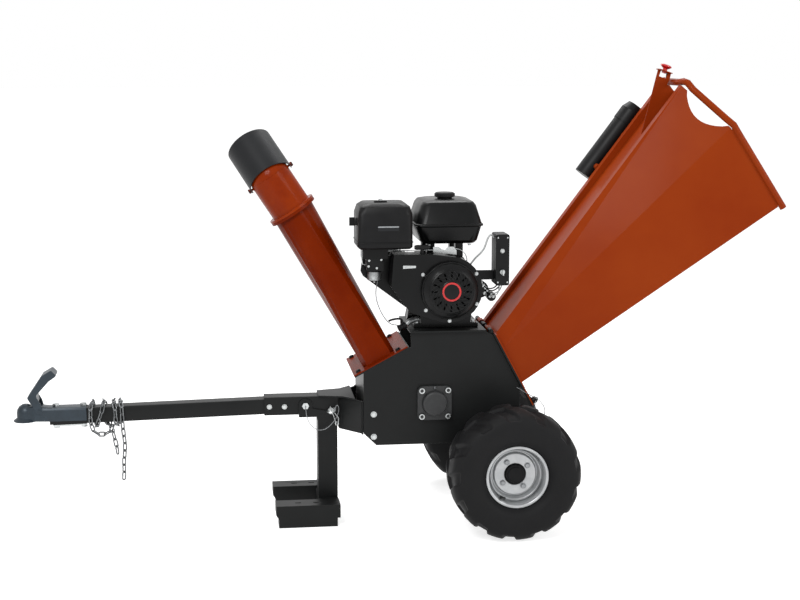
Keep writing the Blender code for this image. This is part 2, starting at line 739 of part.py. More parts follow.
def pulley_mesh(radius, bore, x, z):
    """A pulley with one vee groove, a web and a hub."""
    half = BELT_WIDTH / 2 + 0.003
    groove = BELT_WIDTH / 2 - 0.001
    root = radius - BELT_THICK - 0.003
    profile = [(bore + GAP, -half), (radius, -half), (radius, -groove - 0.001), (root, -groove + 0.004),
               (root, groove - 0.004), (radius, groove + 0.001), (radius, half), (radius - 0.016, half),
               (radius - 0.018, 0.005), (bore + 0.014, 0.005), (bore + 0.012, half), (bore + GAP, half)]
    return moved(turned(profile, STEPS, ring=True), aimed((x, BELT_PLANE_Y, z), (0, 1, 0)))


def belt_outline(first, second):
    """The outline round two circles, each (x, z, radius), with the second one above."""
    run = Vector((second[0] - first[0], second[1] - first[1]))
    lean = math.degrees(math.atan2(run.y, run.x))
    open_angle = math.degrees(math.asin((first[2] - second[2]) / run.length))
    low = arc(first[2], lean + 90 - open_angle + 0.0, lean + 270 + open_angle, 14, first[:2])
    high = arc(second[2], lean - 90 + open_angle, lean + 90 - open_angle, 12, second[:2])
    return low + high


def make_drive(chassis):
    """The vee belt and the sheet guard over it."""
    thick = 0.0065
    root_half = BELT_WIDTH / 2 - 0.0055
    top_half = root_half + 0.0025

    def pair(rotor_size, clutch_size):
        return belt_outline((ROTOR_X, ROTOR_Z, rotor_size), (CRANK_X, CRANK_Z, clutch_size))

    root = BELT_THICK + 0.003 - 0.001
    inner = pair(ROTOR_PULLEY_RADIUS - root, CLUTCH_PULLEY_RADIUS - root)
    outer = pair(ROTOR_PULLEY_RADIUS - root + thick, CLUTCH_PULLEY_RADIUS - root + thick)
    rings = [[(x, BELT_PLANE_Y + y, z) for x, z in outline] for outline, y in
             ((inner, -root_half), (outer, -top_half), (outer, top_half), (inner, root_half))]
    node("drive_belt", loop_loft(rings), "belt_rubber", chassis)
    start = HOUSING_HALF_WIDTH + GAP
    outside = pair(ROTOR_PULLEY_RADIUS + 0.014, CLUTCH_PULLEY_RADIUS + 0.014)
    inside = pair(ROTOR_PULLEY_RADIUS + 0.014 - GUARD_SHEET, CLUTCH_PULLEY_RADIUS + 0.014 - GUARD_SHEET)
    shell = prism(outside, start, GUARD_OUTER_Y)
    hollow = prism(inside, start + GUARD_SHEET, GUARD_OUTER_Y - GUARD_SHEET)
    cutters = [hollow, y_rod(CRANK_X, CRANK_Z, 0.030, start - 0.01, start + 0.01),
               box((ROTOR_X - 0.0555, ROTOR_X + 0.0555), (start - 0.01, start + 0.0145),
                   (ROTOR_Z - 0.0555, ROTOR_Z + 0.0555))]
    node("belt_guard", cut(shell, cutters), "black_paint", chassis)


def make_tow_bracket(chassis):
    """The folded bracket that joins the drawbar sleeve to the front of the housing."""
    front = FRONT_X - GAP - BRACKET_SHEET / 2
    web = BRACKET_X + BRACKET_SHEET / 2
    outer = HOUSING_HALF_WIDTH - 0.006
    fold = HOUSING_HALF_WIDTH - 0.021
    path = [(front, -outer), (front, -fold), (web, -0.034), (web, 0.034), (front, fold), (front, outer)]
    top = SLEEVE_Z + SLEEVE / 2 - 0.0005 - GAP
    shape = prism(strip(path, BRACKET_SHEET), BRACKET_LOW_Z, top, axis="Z")
    node("tow_bracket", shape, "black_paint", chassis)


def square_tube(x_range, size, wall, centre_z=0.0):
    """A square tube along X."""
    outer = rectangle(size / 2, size / 2, 0.005, 2, (0.0, centre_z))
    inner = rectangle(size / 2 - wall, size / 2 - wall, 0.002, 2, (0.0, centre_z))
    rings = [[(x, y, z) for y, z in outline] for outline, x in
             ((outer, x_range[0]), (outer, x_range[1]), (inner, x_range[1]), (inner, x_range[0]))]
    return loop_loft(rings)


def make_sleeve(chassis):
    """The level sleeve with its gusset plate on top."""
    tube = square_tube((SLEEVE_END_X, BRACKET_X - GAP), SLEEVE, TUBE_WALL, SLEEVE_Z)
    reach = (-0.05, 0.05)
    for x, z in ((LEG_PIVOT_X, LEG_PIVOT_Z), (LEG_PIN_X, LEG_PIN_Z)):
        tube = cut(tube, [y_rod(x, z, M12_RADIUS + BOLT_FIT, *reach)])
    top = SLEEVE_Z + SLEEVE / 2
    outline = [(-0.580, -0.041), (-0.505, -0.060), (-0.468, -0.100), (-0.468, 0.100), (-0.505, 0.060),
               (-0.580, 0.041)]
    gusset = prism(outline, top - 0.0005, top + 0.004, axis="Z")
    node("drawbar_sleeve", fuse(gusset, [tube]), "black_paint", chassis)


def make_drawbar(chassis):
    """The drawbar tube, which droops a little from the sleeve."""
    tube = square_tube((DRAWBAR_OUTER, DRAWBAR_INNER), DRAWBAR, TUBE_WALL)
    for x in COUPLER_BOLT_XS:
        tube = cut(tube, [rod((x, 0, -0.05), (x, 0, 0.05), M12_RADIUS + BOLT_FIT)])
    node("drawbar_tube", moved(tube, DRAW_FRAME), "black_paint", chassis)


def coupler_section(x, half, top, low, corner=0.008):
    """One rectangular section of the coupler with round upper corners."""
    points = rounded([(-half, low), (half, low), (half, top), (-half, top)], [0, 0, corner, corner], 2)
    return [(x, y, z) for y, z in points]


def coupler_profile(radius, lip, low):
    """Half section of the ball head, from its pole down to its lip."""
    points = [(radius * math.sin(math.radians(a)), BALL_Z + radius * math.cos(math.radians(a)))
              for a in (0, 22, 45, 67, 90)]
    return points + [(radius, -0.001), (lip, low + 0.003), (lip, low), (0.0, low)]


def make_coupler(chassis):
    """The pressed ball coupler with its clamp plate, in the drawbar's frame."""
    wall = COUPLER_SHEET
    half = DRAWBAR / 2 + GAP
    outer = loft([coupler_section(COUPLER_REAR, half + wall, half + wall, -0.0145),
                  coupler_section(BALL_X + 0.074, half + wall, half + wall + 0.002, -0.0125),
                  coupler_section(BALL_X + 0.030, half + wall, half + wall + 0.008, -0.0105),
                  coupler_section(BALL_X + 0.004, 0.024, half + wall + 0.008, -0.009)])
    inner = loft([coupler_section(COUPLER_REAR + 0.01, half, half, -0.03, 0.004),
                  coupler_section(BALL_X + 0.073, half, half, -0.03, 0.004),
                  coupler_section(BALL_X + 0.030, half, half + 0.006, -0.03, 0.004),
                  coupler_section(BALL_X + 0.004, 0.021, half + 0.006, -0.03, 0.004)])
    head = turned(coupler_profile(BALL_RADIUS + wall, 0.039, -0.0115), 24)
    socket = turned([(p[0], p[1]) for p in coupler_profile(BALL_RADIUS, 0.034, -0.013)][:-2]
                    + [(0.034, -0.030), (0.0, -0.030)], 24)
    place = Matrix.Translation((BALL_X, 0, 0))
    shape = fuse(outer, [moved(head, place)])
    holes = [rod((x, 0, -0.05), (x, 0, 0.06), M12_RADIUS + BOLT_FIT, 12) for x in COUPLER_BOLT_XS]
    shape = cut(shape, [inner, moved(socket, place.copy())] + holes)
    pivot = DRAW_FRAME.inverted() @ Vector(HANDLE_PIVOT)
    stub = half + wall + 0.006
    shape = fuse(shape, [y_rod(pivot.x, pivot.z, 0.004, half + wall - 0.001, stub),
                         y_rod(pivot.x, pivot.z, 0.004, -stub, -half - wall + 0.001)])
    node("coupler_body", moved(shape, DRAW_FRAME), "coupler_paint", chassis)
    under = -DRAWBAR / 2 - GAP
    clamp = prism(rectangle(0.052, half, 0.004, 2, ((COUPLER_BOLT_XS[0] + COUPLER_BOLT_XS[1]) / 2, 0)),
                  under - 0.005, under, axis="Z")
    over = half + wall + GAP
    studs = [bolt((x, 0, top), (x, 0, under - 0.005), M12_RADIUS, nut=0.009)
             for x, top in zip(COUPLER_BOLT_XS, (over + 0.0020, over + 0.0005))]
    node("coupler_clamp", moved(fuse(clamp, studs), DRAW_FRAME), "zinc", chassis)


def make_leg_bolt(chassis):
    """The bolt that the parking leg swings on."""
    side = LEG_HALF_WIDTH + GAP
    shape = bolt((LEG_PIVOT_X, -side, LEG_PIVOT_Z), (LEG_PIVOT_X, side, LEG_PIVOT_Z), M12_RADIUS, nut=0.008)
    node("leg_pivot_bolt", shape, "zinc", chassis)


def make_coupler_handle(chassis):
    """The lever that locks the coupler on its ball, with ears outside the coupler."""
    pivot = HANDLE_PIVOT
    lever = body("coupler_handle_axis", pivot, chassis)

    def beside(points):
        return [(pivot[0] + x, pivot[2] + z) for x, z in points]

    outline = beside([(-0.024, 0.022), (0.0, 0.023), (-0.007, 0.049), (0.033, 0.093), (0.058, 0.110),
                      (0.041, 0.128), (0.012, 0.111), (-0.035, 0.042)])
    half = DRAWBAR / 2 + GAP + COUPLER_SHEET + 0.001
    blade = prism(rounded(outline, 0.006, 3), -half - 0.003, half + 0.003)
    hollow = prism(beside([(-0.015, 0.007), (0.012, 0.007), (-0.0165, 0.0475), (0.042, 0.109), (0.036, 0.116),
                           (-0.028, 0.041)]), -half, half)
    ears = []
    for side in (-1, 1):
        low, high = sorted((side * half, side * (half + 0.003)))
        ear = beside([(-0.024, 0.025)] + arc(0.011, 180, 360, 6) + [(0.004, 0.025), (-0.004, 0.039)])
        ears.append(prism(ear, low, high))
    pin_hole = y_rod(pivot[0], pivot[2], 0.004 + GAP, -0.05, 0.05, 12)
    node("coupler_handle", cut(fuse(blade, ears), [hollow, pin_hole]), "coupler_paint", lever)


def make_leg(chassis):
    """The fold-up leg: post with cheeks round the sleeve, cross bar and two feet."""
    leg = body("leg_axis", (LEG_PIVOT_X, 0.0, LEG_PIVOT_Z), chassis)
    half = LEG_HALF_WIDTH
    post = box((LEG_LEFT_X, LEG_RIGHT_X), (-half, half), (LEG_FOOT_Z, LEG_TOP_Z))
    notch = M12_RADIUS + BOLT_FIT
    cheek = [(-0.642, LEG_TOP_Z - 0.002)]
    cheek += [(LEG_LEFT_X - 0.004, LEG_TOP_Z - 0.002), (LEG_LEFT_X + 0.002, 0.310), (LEG_RIGHT_X, 0.310)]
    cheek += [(LEG_RIGHT_X, LEG_PIN_Z - 0.006)]
    cheek += arc(notch, -72, -180, 6, (LEG_PIN_X, LEG_PIN_Z))
    cheek += [(LEG_PIN_X - 0.018, LEG_PIN_Z), (LEG_PIVOT_X + 0.022, LEG_PIVOT_Z - 0.010)]
    cheek += arc(0.022, -10, 180, 8, (LEG_PIVOT_X, LEG_PIVOT_Z))
    cheeks = []
    for side in (-1, 1):
        low, high = sorted((side * half, side * (half - CHEEK)))
        cheeks.append(cut(prism(cheek, low, high),
                          [y_rod(LEG_PIVOT_X, LEG_PIVOT_Z, M12_RADIUS + BOLT_FIT, -0.06, 0.06, 12)]))
    node("parking_leg", fuse(post, cheeks), "black_paint", leg)
    bar = box((LEG_LEFT_X, LEG_RIGHT_X), (-PAD_INNER_Y - 0.002, PAD_INNER_Y + 0.002), (0.022, LEG_FOOT_Z - GAP))
    outline = [(PAD_RIGHT_X, PAD_TOP_Z), (PAD_LEFT_X, PAD_TOP_Z), (PAD_LEFT_X, 0.042), (PAD_LEFT_X + 0.009, 0.028),
               (PAD_LEFT_X + 0.009, 0.0), (PAD_RIGHT_X - 0.009, 0.0), (PAD_RIGHT_X - 0.009, 0.028),
               (PAD_RIGHT_X, 0.028)]
    pads = []
    for side in (-1, 1):
        low, high = sorted((side * PAD_INNER_Y, side * PAD_OUTER_Y))
        centre_y = (low + high) / 2
        slots = [prism(rectangle(0.010, 0.0035, 0.003, 2, (x, centre_y)), PAD_TOP_Z - 0.020, PAD_TOP_Z + 0.01, "Z")
                 for x in (-0.652, -0.595)]
        pads.append(cut(prism(outline, low, high), slots))
    node("leg_feet", fuse(bar, pads), "black_paint", leg)


def pin_mesh(start_y, end_y, x, z, radius):
    """A pin along Y with a ring handle at its near end."""
    wire_radius = PIN_WIRE
    shank = y_rod(x, z, radius, start_y, end_y)
    collar = y_rod(x, z, radius * 1.7, start_y - 0.006, start_y)
    section = [(PIN_RING_RADIUS + wire_radius * px, wire_radius * pz) for px, pz in circle(1.0, 6)]
    ring = turned(section, 16, ring=True)
    ring = moved(ring, aimed((x, start_y - 0.016, z), (0, 0, 1)))
    return fuse(shank, [collar, ring])


def make_leg_pin(chassis):
    """The quick pin that holds the parking leg down."""
    pin = body("leg_pin_axis", (LEG_PIN_X, 0.0, LEG_PIN_Z), chassis)
    half = LEG_HALF_WIDTH + GAP
    node("leg_pin", pin_mesh(-half, half + 0.008, LEG_PIN_X, LEG_PIN_Z, M12_RADIUS), "zinc", pin)


def make_rear_pin(hopper):
    """The latch pin that holds the hopper against the throat frame."""
    latch = body("rear_pin_axis", THROAT @ Vector((CATCH_U, CATCH_Y, 0.0)), hopper)
    seat = GAP + SIDE_PLATE + GAP + HOPPER_FLANGE + GAP
    shank = rod((CATCH_U, CATCH_Y, -0.001), (CATCH_U, CATCH_Y, seat + 0.004), LATCH_RADIUS)
    wide = LATCH_KNOB_RADIUS
    knob = turned([(0.0, 0.0), (wide - 0.002, 0.0), (wide, 0.004), (wide, 0.014), (wide - 0.004, 0.018),
                   (0.0, 0.018)], 16)
    knob = moved(knob, Matrix.Translation((CATCH_U, CATCH_Y, seat)))
    node("rear_pin", moved(fuse(shank, [knob]), THROAT), "black_plastic", latch)


def wire(name, points, radius, slot, owner):
    """A thin cord through points, as a curve with filled caps."""
    curve = bpy.data.curves.new(name, "CURVE")
    curve.dimensions = "3D"
    curve.bevel_depth = radius
    curve.bevel_resolution = 2
    curve.use_fill_caps = True
    spline = curve.splines.new("POLY")
    spline.points.add(len(points) - 1)
    for target, point in zip(spline.points, points):
        local = Vector(point) - owner["pivot"]
        target.co = (*local, 1.0)
    curve.materials.append(PAINTS[slot])
    piece = bpy.data.objects.new(name, curve)
    bpy.context.collection.objects.link(piece)
    piece.parent = owner["empty"]
    return piece


def smooth_path(points, per_run=2):
    """A smooth curve through hand-placed points."""
    result = []
    padded = [points[0]] + list(points) + [points[-1]]
    for index in range(1, len(padded) - 2):
        a, b, c, d = (Vector(padded[index + shift]) for shift in (-1, 0, 1, 2))
        for step in range(per_run):
            t = step / per_run
            point = 0.5 * ((2 * b) + (c - a) * t + (2 * a - 5 * b + 4 * c - d) * t * t
                           + (3 * b - a - 3 * c + d) * t ** 3)
            result.append(point)
    result.append(Vector(points[-1]))
    return result


def tube_wrap(first, last, start_x, end_x):
    """Turns of the chain round the drawbar, from one rounded corner to another.

    Corner 1 is near and high, 2 far and high, 3 far and low, 4 near and low, and so on. The middle line is the
    tube's outline moved out by the chain's radius, and it runs along the tube at an even rate."""
    round_radius = TUBE_CORNER + CHAIN_FIT + CHAIN_RADIUS
    flat = DRAWBAR / 2 - TUBE_CORNER
    centres = ((-flat, -flat), (-flat, flat), (flat, flat), (flat, -flat))
    points = []
    for corner in range(first, last + 1):
        y, z = centres[corner % 4]
        for step in range(WRAP_STEPS):
            turned_by = (step + 0.5) / WRAP_STEPS
            angle = math.radians(270 - 90 * (corner + turned_by))
            share = (corner - first + turned_by) / (last - first + 1)
            points.append((start_x + (end_x - start_x) * share, y + round_radius * math.cos(angle),
                           z + round_radius * math.sin(angle)))
    return points


def chain_route():
    """The safety chain's middle line in the drawbar's frame, from its free end to the link that it hooks on."""
    side = DRAWBAR / 2 + CHAIN_FIT + CHAIN_RADIUS
    free_end = [(-0.525, -0.036, -0.208), (-0.523, -0.036, -0.180), (-0.522, -0.036, -0.150),
                (-0.519, -0.036, -0.125), (-0.517, -0.035, -0.100), (-0.518, -0.034, -0.075),
                (-0.520, -side, -0.050), (-0.521, -side, -0.022)]
    loop = [(-0.553, side, -0.010), (-0.554, 0.033, -0.038), (-0.560, 0.022, -0.058), (-0.572, 0.006, -0.066),
            (-0.586, -0.008, -0.066), (-0.601, -0.020, -0.060), (-0.612, -0.029, -0.046), (-0.618, -side, -0.022)]
    hooked_end = [(-0.566, -0.004, -side), (-0.560, -0.022, -side - 0.004), (-0.553, -0.031, -0.050),
                  (-0.548, -0.034, -0.074), (-0.543, -0.035, -0.100), (-0.540, -0.036, -0.124)]
    return (free_end + tube_wrap(1, 6, -0.521, -0.552) + loop + tube_wrap(1, 3, -0.618, -0.606)
            + tube_wrap(4, 4, -0.602, -0.596) + tube_wrap(5, 7, -0.581, -0.574) + hooked_end)


def make_chain(chassis):
    """The safety chain, wound twice and twice again round the drawbar, as a plain tube of its width."""
    wire("safety_chain", [DRAW_FRAME @ Vector(point) for point in chain_route()], CHAIN_RADIUS, "zinc", chassis)


def make_leg_lanyard(chassis):
    """The thin steel cable from the leg's pivot bolt to the ring of its pin."""
    face = -(LEG_HALF_WIDTH + GAP + BOLT_HEAD + GAP)
    ring_top = LEG_PIN_Z + PIN_WIRE + GAP
    eye = (LEG_PIVOT_X, face, LEG_PIVOT_Z)
    ring = (LEG_PIN_X + PIN_RING_RADIUS, -0.0518, ring_top)
    slack = [(LEG_PIVOT_X, face - 0.004, LEG_PIVOT_Z), (LEG_PIVOT_X, -0.051, 0.356), (-0.6175, -0.052, 0.333),
             (-0.608, -0.053, 0.311), (-0.592, -0.055, 0.296), (-0.574, -0.057, 0.291), (-0.556, -0.058, 0.297),
             (-0.540, -0.059, 0.311), (-0.526, -0.059, 0.329), (-0.5185, -0.058, 0.346), (-0.5165, -0.057, 0.359),
             (-0.5190, -0.055, 0.3685), (-0.5240, -0.053, 0.3685), (ring[0], ring[1], ring_top + 0.008)]
    wire("leg_lanyard", [eye] + smooth_path(slack) + [ring], LANYARD_RADIUS, "steel", chassis)


def make_rear_lanyard(chassis):
    """The thin steel cable from the near side plate to the latch pin, in one loop."""
    face = -HOUSING_HALF_WIDTH - GAP
    knob = THROAT @ Vector((CATCH_U, CATCH_Y + LATCH_KNOB_RADIUS + GAP, 0.020))
    eye = (0.040, face, 0.432)
    slack = [(0.040, face - 0.004, 0.432), (0.050, -0.147, 0.427), (0.067, -0.150, 0.416), (0.088, -0.153, 0.405),
             (0.107, -0.155, 0.393), (0.122, -0.156, 0.377), (0.129, -0.156, 0.359), (0.126, -0.155, 0.343),
             (0.114, -0.154, 0.334), (0.102, -0.153, 0.339), (0.097, -0.152, 0.354), (0.099, -0.149, 0.372),
             (knob.x, knob.y - 0.005, knob.z)]
    wire("rear_lanyard", [eye] + smooth_path(slack) + [tuple(knob)], LANYARD_RADIUS, "steel", chassis)


def make_lower_chute(chassis):
    """Square at its base and round at its collar, with a flange at each end."""
    count = 24
    half_x = CHUTE_BASE_LENGTH / 2
    base_x = 0.008 + half_x
    start = GAP + SHEET + GAP
    flange_top = start + CHUTE_SHEET + 0.0015

    def square_ring(shrink, height):
        points = []
        hx = half_x - shrink
        hy = CHUTE_BASE_HALF_WIDTH - shrink
        for index in range(count):
            angle = 2 * math.pi * (index + 0.5) / count
            c, s = math.cos(angle), math.sin(angle)
            scale = 1 / max(abs(c) / hx, abs(s) / hy)
            points.append(OUTLET @ Vector((base_x + c * scale, s * scale, height)))
        return points

    def round_ring(radius, height):
        return [COLLAR_FRAME @ Vector((radius * math.cos(2 * math.pi * (i + 0.5) / count),
                                       radius * math.sin(2 * math.pi * (i + 0.5) / count), height))
                for i in range(count)]

    def blend(first, second, t):
        return [a.lerp(b, t) for a, b in zip(first, second)]

    def wall(shrink):
        low = square_ring(shrink, start + 0.0006)
        high = round_ring(CHUTE_RADIUS + 0.0015 - shrink, -COLLAR_PLATE)
        return [low, blend(low, high, 0.5), high]

    outer = wall(0.0)
    inner = wall(CHUTE_SHEET)
    top = round_ring(CHUTE_RADIUS + 0.0015 - CHUTE_SHEET, -GAP / 2)
    collar = [round_ring(COLLAR_RADIUS, -COLLAR_PLATE), round_ring(COLLAR_RADIUS, -GAP / 2)]
    shell = triangulated(loop_loft(outer + collar + [top] + inner[::-1]))
    plate = box((-OUTLET_LIP, OUTLET_LENGTH - 0.008), (-HOUSING_HALF_WIDTH, HOUSING_HALF_WIDTH),
                (start, flange_top))
    window = [(base_x - half_x + 0.001, -CHUTE_BASE_HALF_WIDTH + 0.001),
              (base_x + half_x - 0.001, -CHUTE_BASE_HALF_WIDTH + 0.001),
              (base_x + half_x - 0.001, CHUTE_BASE_HALF_WIDTH - 0.001),
              (base_x - half_x + 0.001, CHUTE_BASE_HALF_WIDTH - 0.001)]
    plate = moved(cut(plate, [prism(window, -0.01, 0.03, axis="Z")]), OUTLET)
    node("lower_chute", fuse(shell, [plate]), "orange_paint", chassis)


def make_upper_chute(chassis):
    """The swivelling tube with its collar, and the hood that tilts on two screws."""
    swivel = body("chute_axis", COLLAR, chassis)
    radius = CHUTE_RADIUS
    wall = CHUTE_SHEET
    length = UPPER_CHUTE_LENGTH
    profile = [(radius - wall, GAP / 2), (COLLAR_RADIUS, GAP / 2), (COLLAR_RADIUS, COLLAR_PLATE),
               (radius, COLLAR_PLATE), (radius, length + 0.008), (radius - wall, length + 0.008)]
    tube = turned(profile, STEPS, ring=True)
    screws = []
    reach = HOOD_RADIUS + GAP
    for side in (-1, 1):
        screws.append(bolt((side * reach, 0, length), (side * (radius - 0.004), 0, length), 0.004, head=0.006))
    tube = fuse(tube, screws)
    node("upper_chute", moved(tube, COLLAR_FRAME), "orange_paint", swivel)
    pivot = COLLAR_FRAME @ Vector((0, 0, length))
    tilt = body("hood_axis", pivot, swivel)
    outer = arc(HOOD_RADIUS, 172, 368, 24)
    inner = arc(HOOD_RADIUS - HOOD_SHEET, 172, 368, 24)
    outline = outer + inner[::-1]
    shell = prism(outline, -0.006, HOOD_LENGTH, axis="Z")
    holes = [rod((-0.09, 0, 0), (0.09, 0, 0), 0.0045, 12)]
    shell = cut(shell, holes)
    frame = COLLAR_FRAME @ Matrix.Translation((0, 0, length)) @ Matrix.Rotation(-HOOD_TILT, 4, "X")
    node("chute_hood", moved(shell, frame), "grey_plastic", tilt)


def hopper_rings():
    """Sections of the hopper at the throat and at the mouth, from the near bottom corner."""
    start = GAP + SIDE_PLATE + GAP + HOPPER_FLANGE / 2
    edge = PLATE_INNER - 0.002

    def throat(u, y, drop=0.0):
        return THROAT @ Vector((u, -y, start + drop))

    low, high = 0.004, THROAT_HEIGHT - 0.004
    deep = TOP_CHANNEL_DEPTH
    along = Vector(MOUTH_TOP) - THROAT @ Vector((high, 0, start))
    along.y = 0.0
    along.normalize()
    square = Vector((along.z, 0.0, -along.x))
    first = [throat(low, -edge), throat(high * 0.72, -edge), throat(high, -TOP_HALF_WIDTH),
             throat(high, -TOP_CHANNEL_HALF), throat(high - 0.012, -TOP_CHANNEL_HALF)]
    first += [throat(high - 0.012, TOP_CHANNEL_HALF), throat(high, TOP_CHANNEL_HALF),
              throat(high, TOP_HALF_WIDTH), throat(high * 0.72, edge), throat(low, edge)]
    top = Vector((MOUTH_TOP[0], 0.0, MOUTH_TOP[2]))
    last = []
    for side in (-1, 1):
        half = [Vector((MOUTH_LOW[0], side * MOUTH_LOW[1], MOUTH_LOW[2])),
                Vector((MOUTH_BEND[0], side * MOUTH_BEND[1], MOUTH_BEND[2])),
                top + Vector((0, side * TOP_HALF_WIDTH, 0)), top + Vector((0, side * TOP_CHANNEL_HALF, 0)),
                top + Vector((0, side * TOP_CHANNEL_HALF, 0)) + square * deep]
        last += half if side < 0 else half[::-1]
    return first, last, square


def make_hopper(chassis):
    """The feed hopper with its flange, mouth hoop, stop switch and document tube."""
    hopper = body("hopper_axis", HINGE, chassis)
    first, last, square = hopper_rings()
    sheet = bmesh.new()
    rows = [[sheet.verts.new(point) for point in ring] for ring in (first, last)]
    count = len(first)
    for index in range(count):
        following = (index + 1) % count
        sheet.faces.new((rows[0][index], rows[0][following], rows[1][following], rows[1][index]))
    bmesh.ops.recalc_face_normals(sheet, faces=sheet.faces)
    mesh = bpy.data.meshes.new("shape")
    sheet.to_mesh(mesh)
    sheet.free()
    holder = bpy.data.objects.new("sheet", mesh)
    bpy.context.collection.objects.link(holder)
    thick = holder.modifiers.new("wall", "SOLIDIFY")
    thick.thickness = HOPPER_SHEET
    thick.offset = -1
    thick.use_even_offset = True
    graph = bpy.context.evaluated_depsgraph_get()
    shell = bpy.data.meshes.new_from_object(holder.evaluated_get(graph))
    bpy.data.objects.remove(holder, do_unlink=True)
    start = Vector((MOUTH_TOP[0] + 0.016, MOUTH_TOP[2] - 0.012))
    end = Vector((MOUTH_BEND[0] - 0.002, MOUTH_BEND[2] + 0.006))
    chord = end - start
    out = Vector((-chord.y, chord.x)).normalized()
    hole = []
    for index in range(13):
        t = index / 12
        point = start + chord * t - out * (0.048 * math.sin(math.pi * t) ** 0.8)
        hole.append((point.x, point.y))
    hole += [tuple(end + out * 0.03), tuple(start + out * 0.03)]
    shell = cut(shell, [prism(hole, -0.3, 0.3)])
    flange_low = GAP + SIDE_PLATE + GAP
    outer = DECK_HALF_WIDTH - 0.002
    flange = box((-0.010, THROAT_HEIGHT), (-outer, outer), (flange_low, flange_low + HOPPER_FLANGE))
    window = box((0.009, THROAT_HEIGHT - 0.018), (-PLATE_INNER + 0.006, PLATE_INNER - 0.006), (-0.02, 0.03))
    flange = cut(flange, [window])
    lugs = []
    height = THROAT_HEIGHT + HINGE_RISE
    for y in (-0.070, 0.070):
        lugs.append(box((THROAT_HEIGHT - 0.004, height + 0.002), (y - 0.022, y + 0.022),
                        (flange_low, flange_low + HOPPER_FLANGE)))
        lugs.append(rod((height, y - 0.022, 0.0), (height, y + 0.022, 0.0), HINGE_RADIUS))
    tab = box((CATCH_U - CATCH_HALF, CATCH_TOP_U), (CATCH_Y - CATCH_HALF, CATCH_Y + CATCH_HALF),
              (flange_low, flange_low + HOPPER_FLANGE))
    flange = fuse(flange, lugs + [tab])
    catch_hole = rod((CATCH_U, CATCH_Y, -0.02), (CATCH_U, CATCH_Y, 0.03), CATCH_HOLE_RADIUS)
    hinge_bore = rod((height, -0.2, 0.0), (height, 0.2, 0.0), HINGE_PIN_RADIUS + GAP, 12)
    flange = moved(cut(flange, [hinge_bore, catch_hole]), THROAT)
    node("hopper_shell", fuse(flange, [shell] + tube_saddles(shell, square)), "orange_paint", hopper)
    make_hoop(hopper)
    make_stop_switch(hopper)
    make_document_tube(hopper, square)
    make_rear_pin(hopper)


def hoop_route():
    """The middle line of the mouth hoop, from the near bottom end over the top."""
    low = Vector(MOUTH_LOW)
    bend = Vector(MOUTH_BEND)
    top = Vector(MOUTH_TOP)
    reach = HOOP_RADIUS + GAP + 0.0005
    lower = (bend - low).normalized()
    upper = (top - bend).normalized()
    out_low = Vector((lower.z, 0.0, -lower.x)).normalized() * reach
    out_high = Vector((upper.z, 0.0, -upper.x)).normalized() * reach
    half = [low - lower * 0.012 + out_low, bend - lower * 0.030 + out_low,
            bend + (out_low + out_high) * 0.53, bend + upper * 0.030 + out_high,
            top - upper * 0.034 + out_high * 1.2, top - upper * 0.008 + out_high * 1.6,
            Vector((top.x + 0.0120, top.y - 0.016, top.z + 0.0120)),
            Vector((top.x + 0.0090, top.y - 0.050, top.z + 0.0090))]
    near = [Vector((p.x, -p.y, p.z)) for p in half]
    return near + half[::-1]


def make_hoop(hopper):
    """The bent tube round the hopper's mouth."""
    wire("mouth_hoop", hoop_route(), HOOP_RADIUS, "orange_paint", hopper)


def make_stop_switch(hopper):
    """The plate on top of the hopper and its red stop button."""
    first, last, square = hopper_rings()
    floor = Vector((last[4].x - first[4].x, 0.0, last[4].z - first[4].z)).normalized()
    rise = Vector((-floor.z, 0.0, floor.x)) * GAP

    def on_panel(back):
        point = last[4] - floor * back + rise
        return (point.x, point.z)

    outline = [on_panel(0.180), on_panel(0.010), (0.545, 1.3735), (0.5535, 1.390), (0.558, 1.412), (0.516, 1.426)]
    plate = prism(outline, -0.002, 0.002)
    tip = Vector((0.516, 0.0, 1.426))
    end = Vector((0.558, 0.0, 1.412))
    run = (end - tip).normalized()
    rise = Vector((-run.z, 0.0, run.x))
    frame = Matrix(((run.x, 0, rise.x, tip.x), (0, 1, 0, 0), (run.z, 0, rise.z, tip.z), (0, 0, 0, 1)))
    tab = moved(box((0.0, 0.044), (-0.020, 0.020), (-0.003, 0.0)), frame)
    hole = moved(rod((0.022, 0, -0.01), (0.022, 0, 0.01), 0.0085), frame)
    peep = y_rod(0.535, 1.407, 0.004, -0.01, 0.01, 12)
    shelf = fuse(plate, [tab])
    relief = moved(box((0.010, 0.034), (-0.012, 0.012), (-0.022, -0.0031)), frame)
    node("stop_bracket", cut(shelf, [hole, peep, relief]), "orange_paint", hopper)
    pivot = frame @ Vector((0.022, 0, 0))
    press = body("stop_button_axis", pivot, hopper)
    button = turned([(0.0, -0.008), (0.0075, -0.008), (0.0075, 0.007), (0.012, 0.009), (0.0185, 0.014),
                     (0.0175, 0.018), (0.010, 0.0205), (0.0, 0.021)], 20)
    node("stop_button", moved(button, frame @ Matrix.Translation((0.022, 0, 0))), "red_plastic", press)


def document_axis(square):
    """The lower end of the document tube and the direction that it runs in."""
    along = Vector((-square.z, 0.0, square.x))
    start = Vector((MOUTH_TOP[0], 0.0, MOUTH_TOP[2])) - along * 0.380 - square * 0.004
    start.y = TOP_HALF_WIDTH + DOCUMENT_RADIUS + 0.018
    return start, along


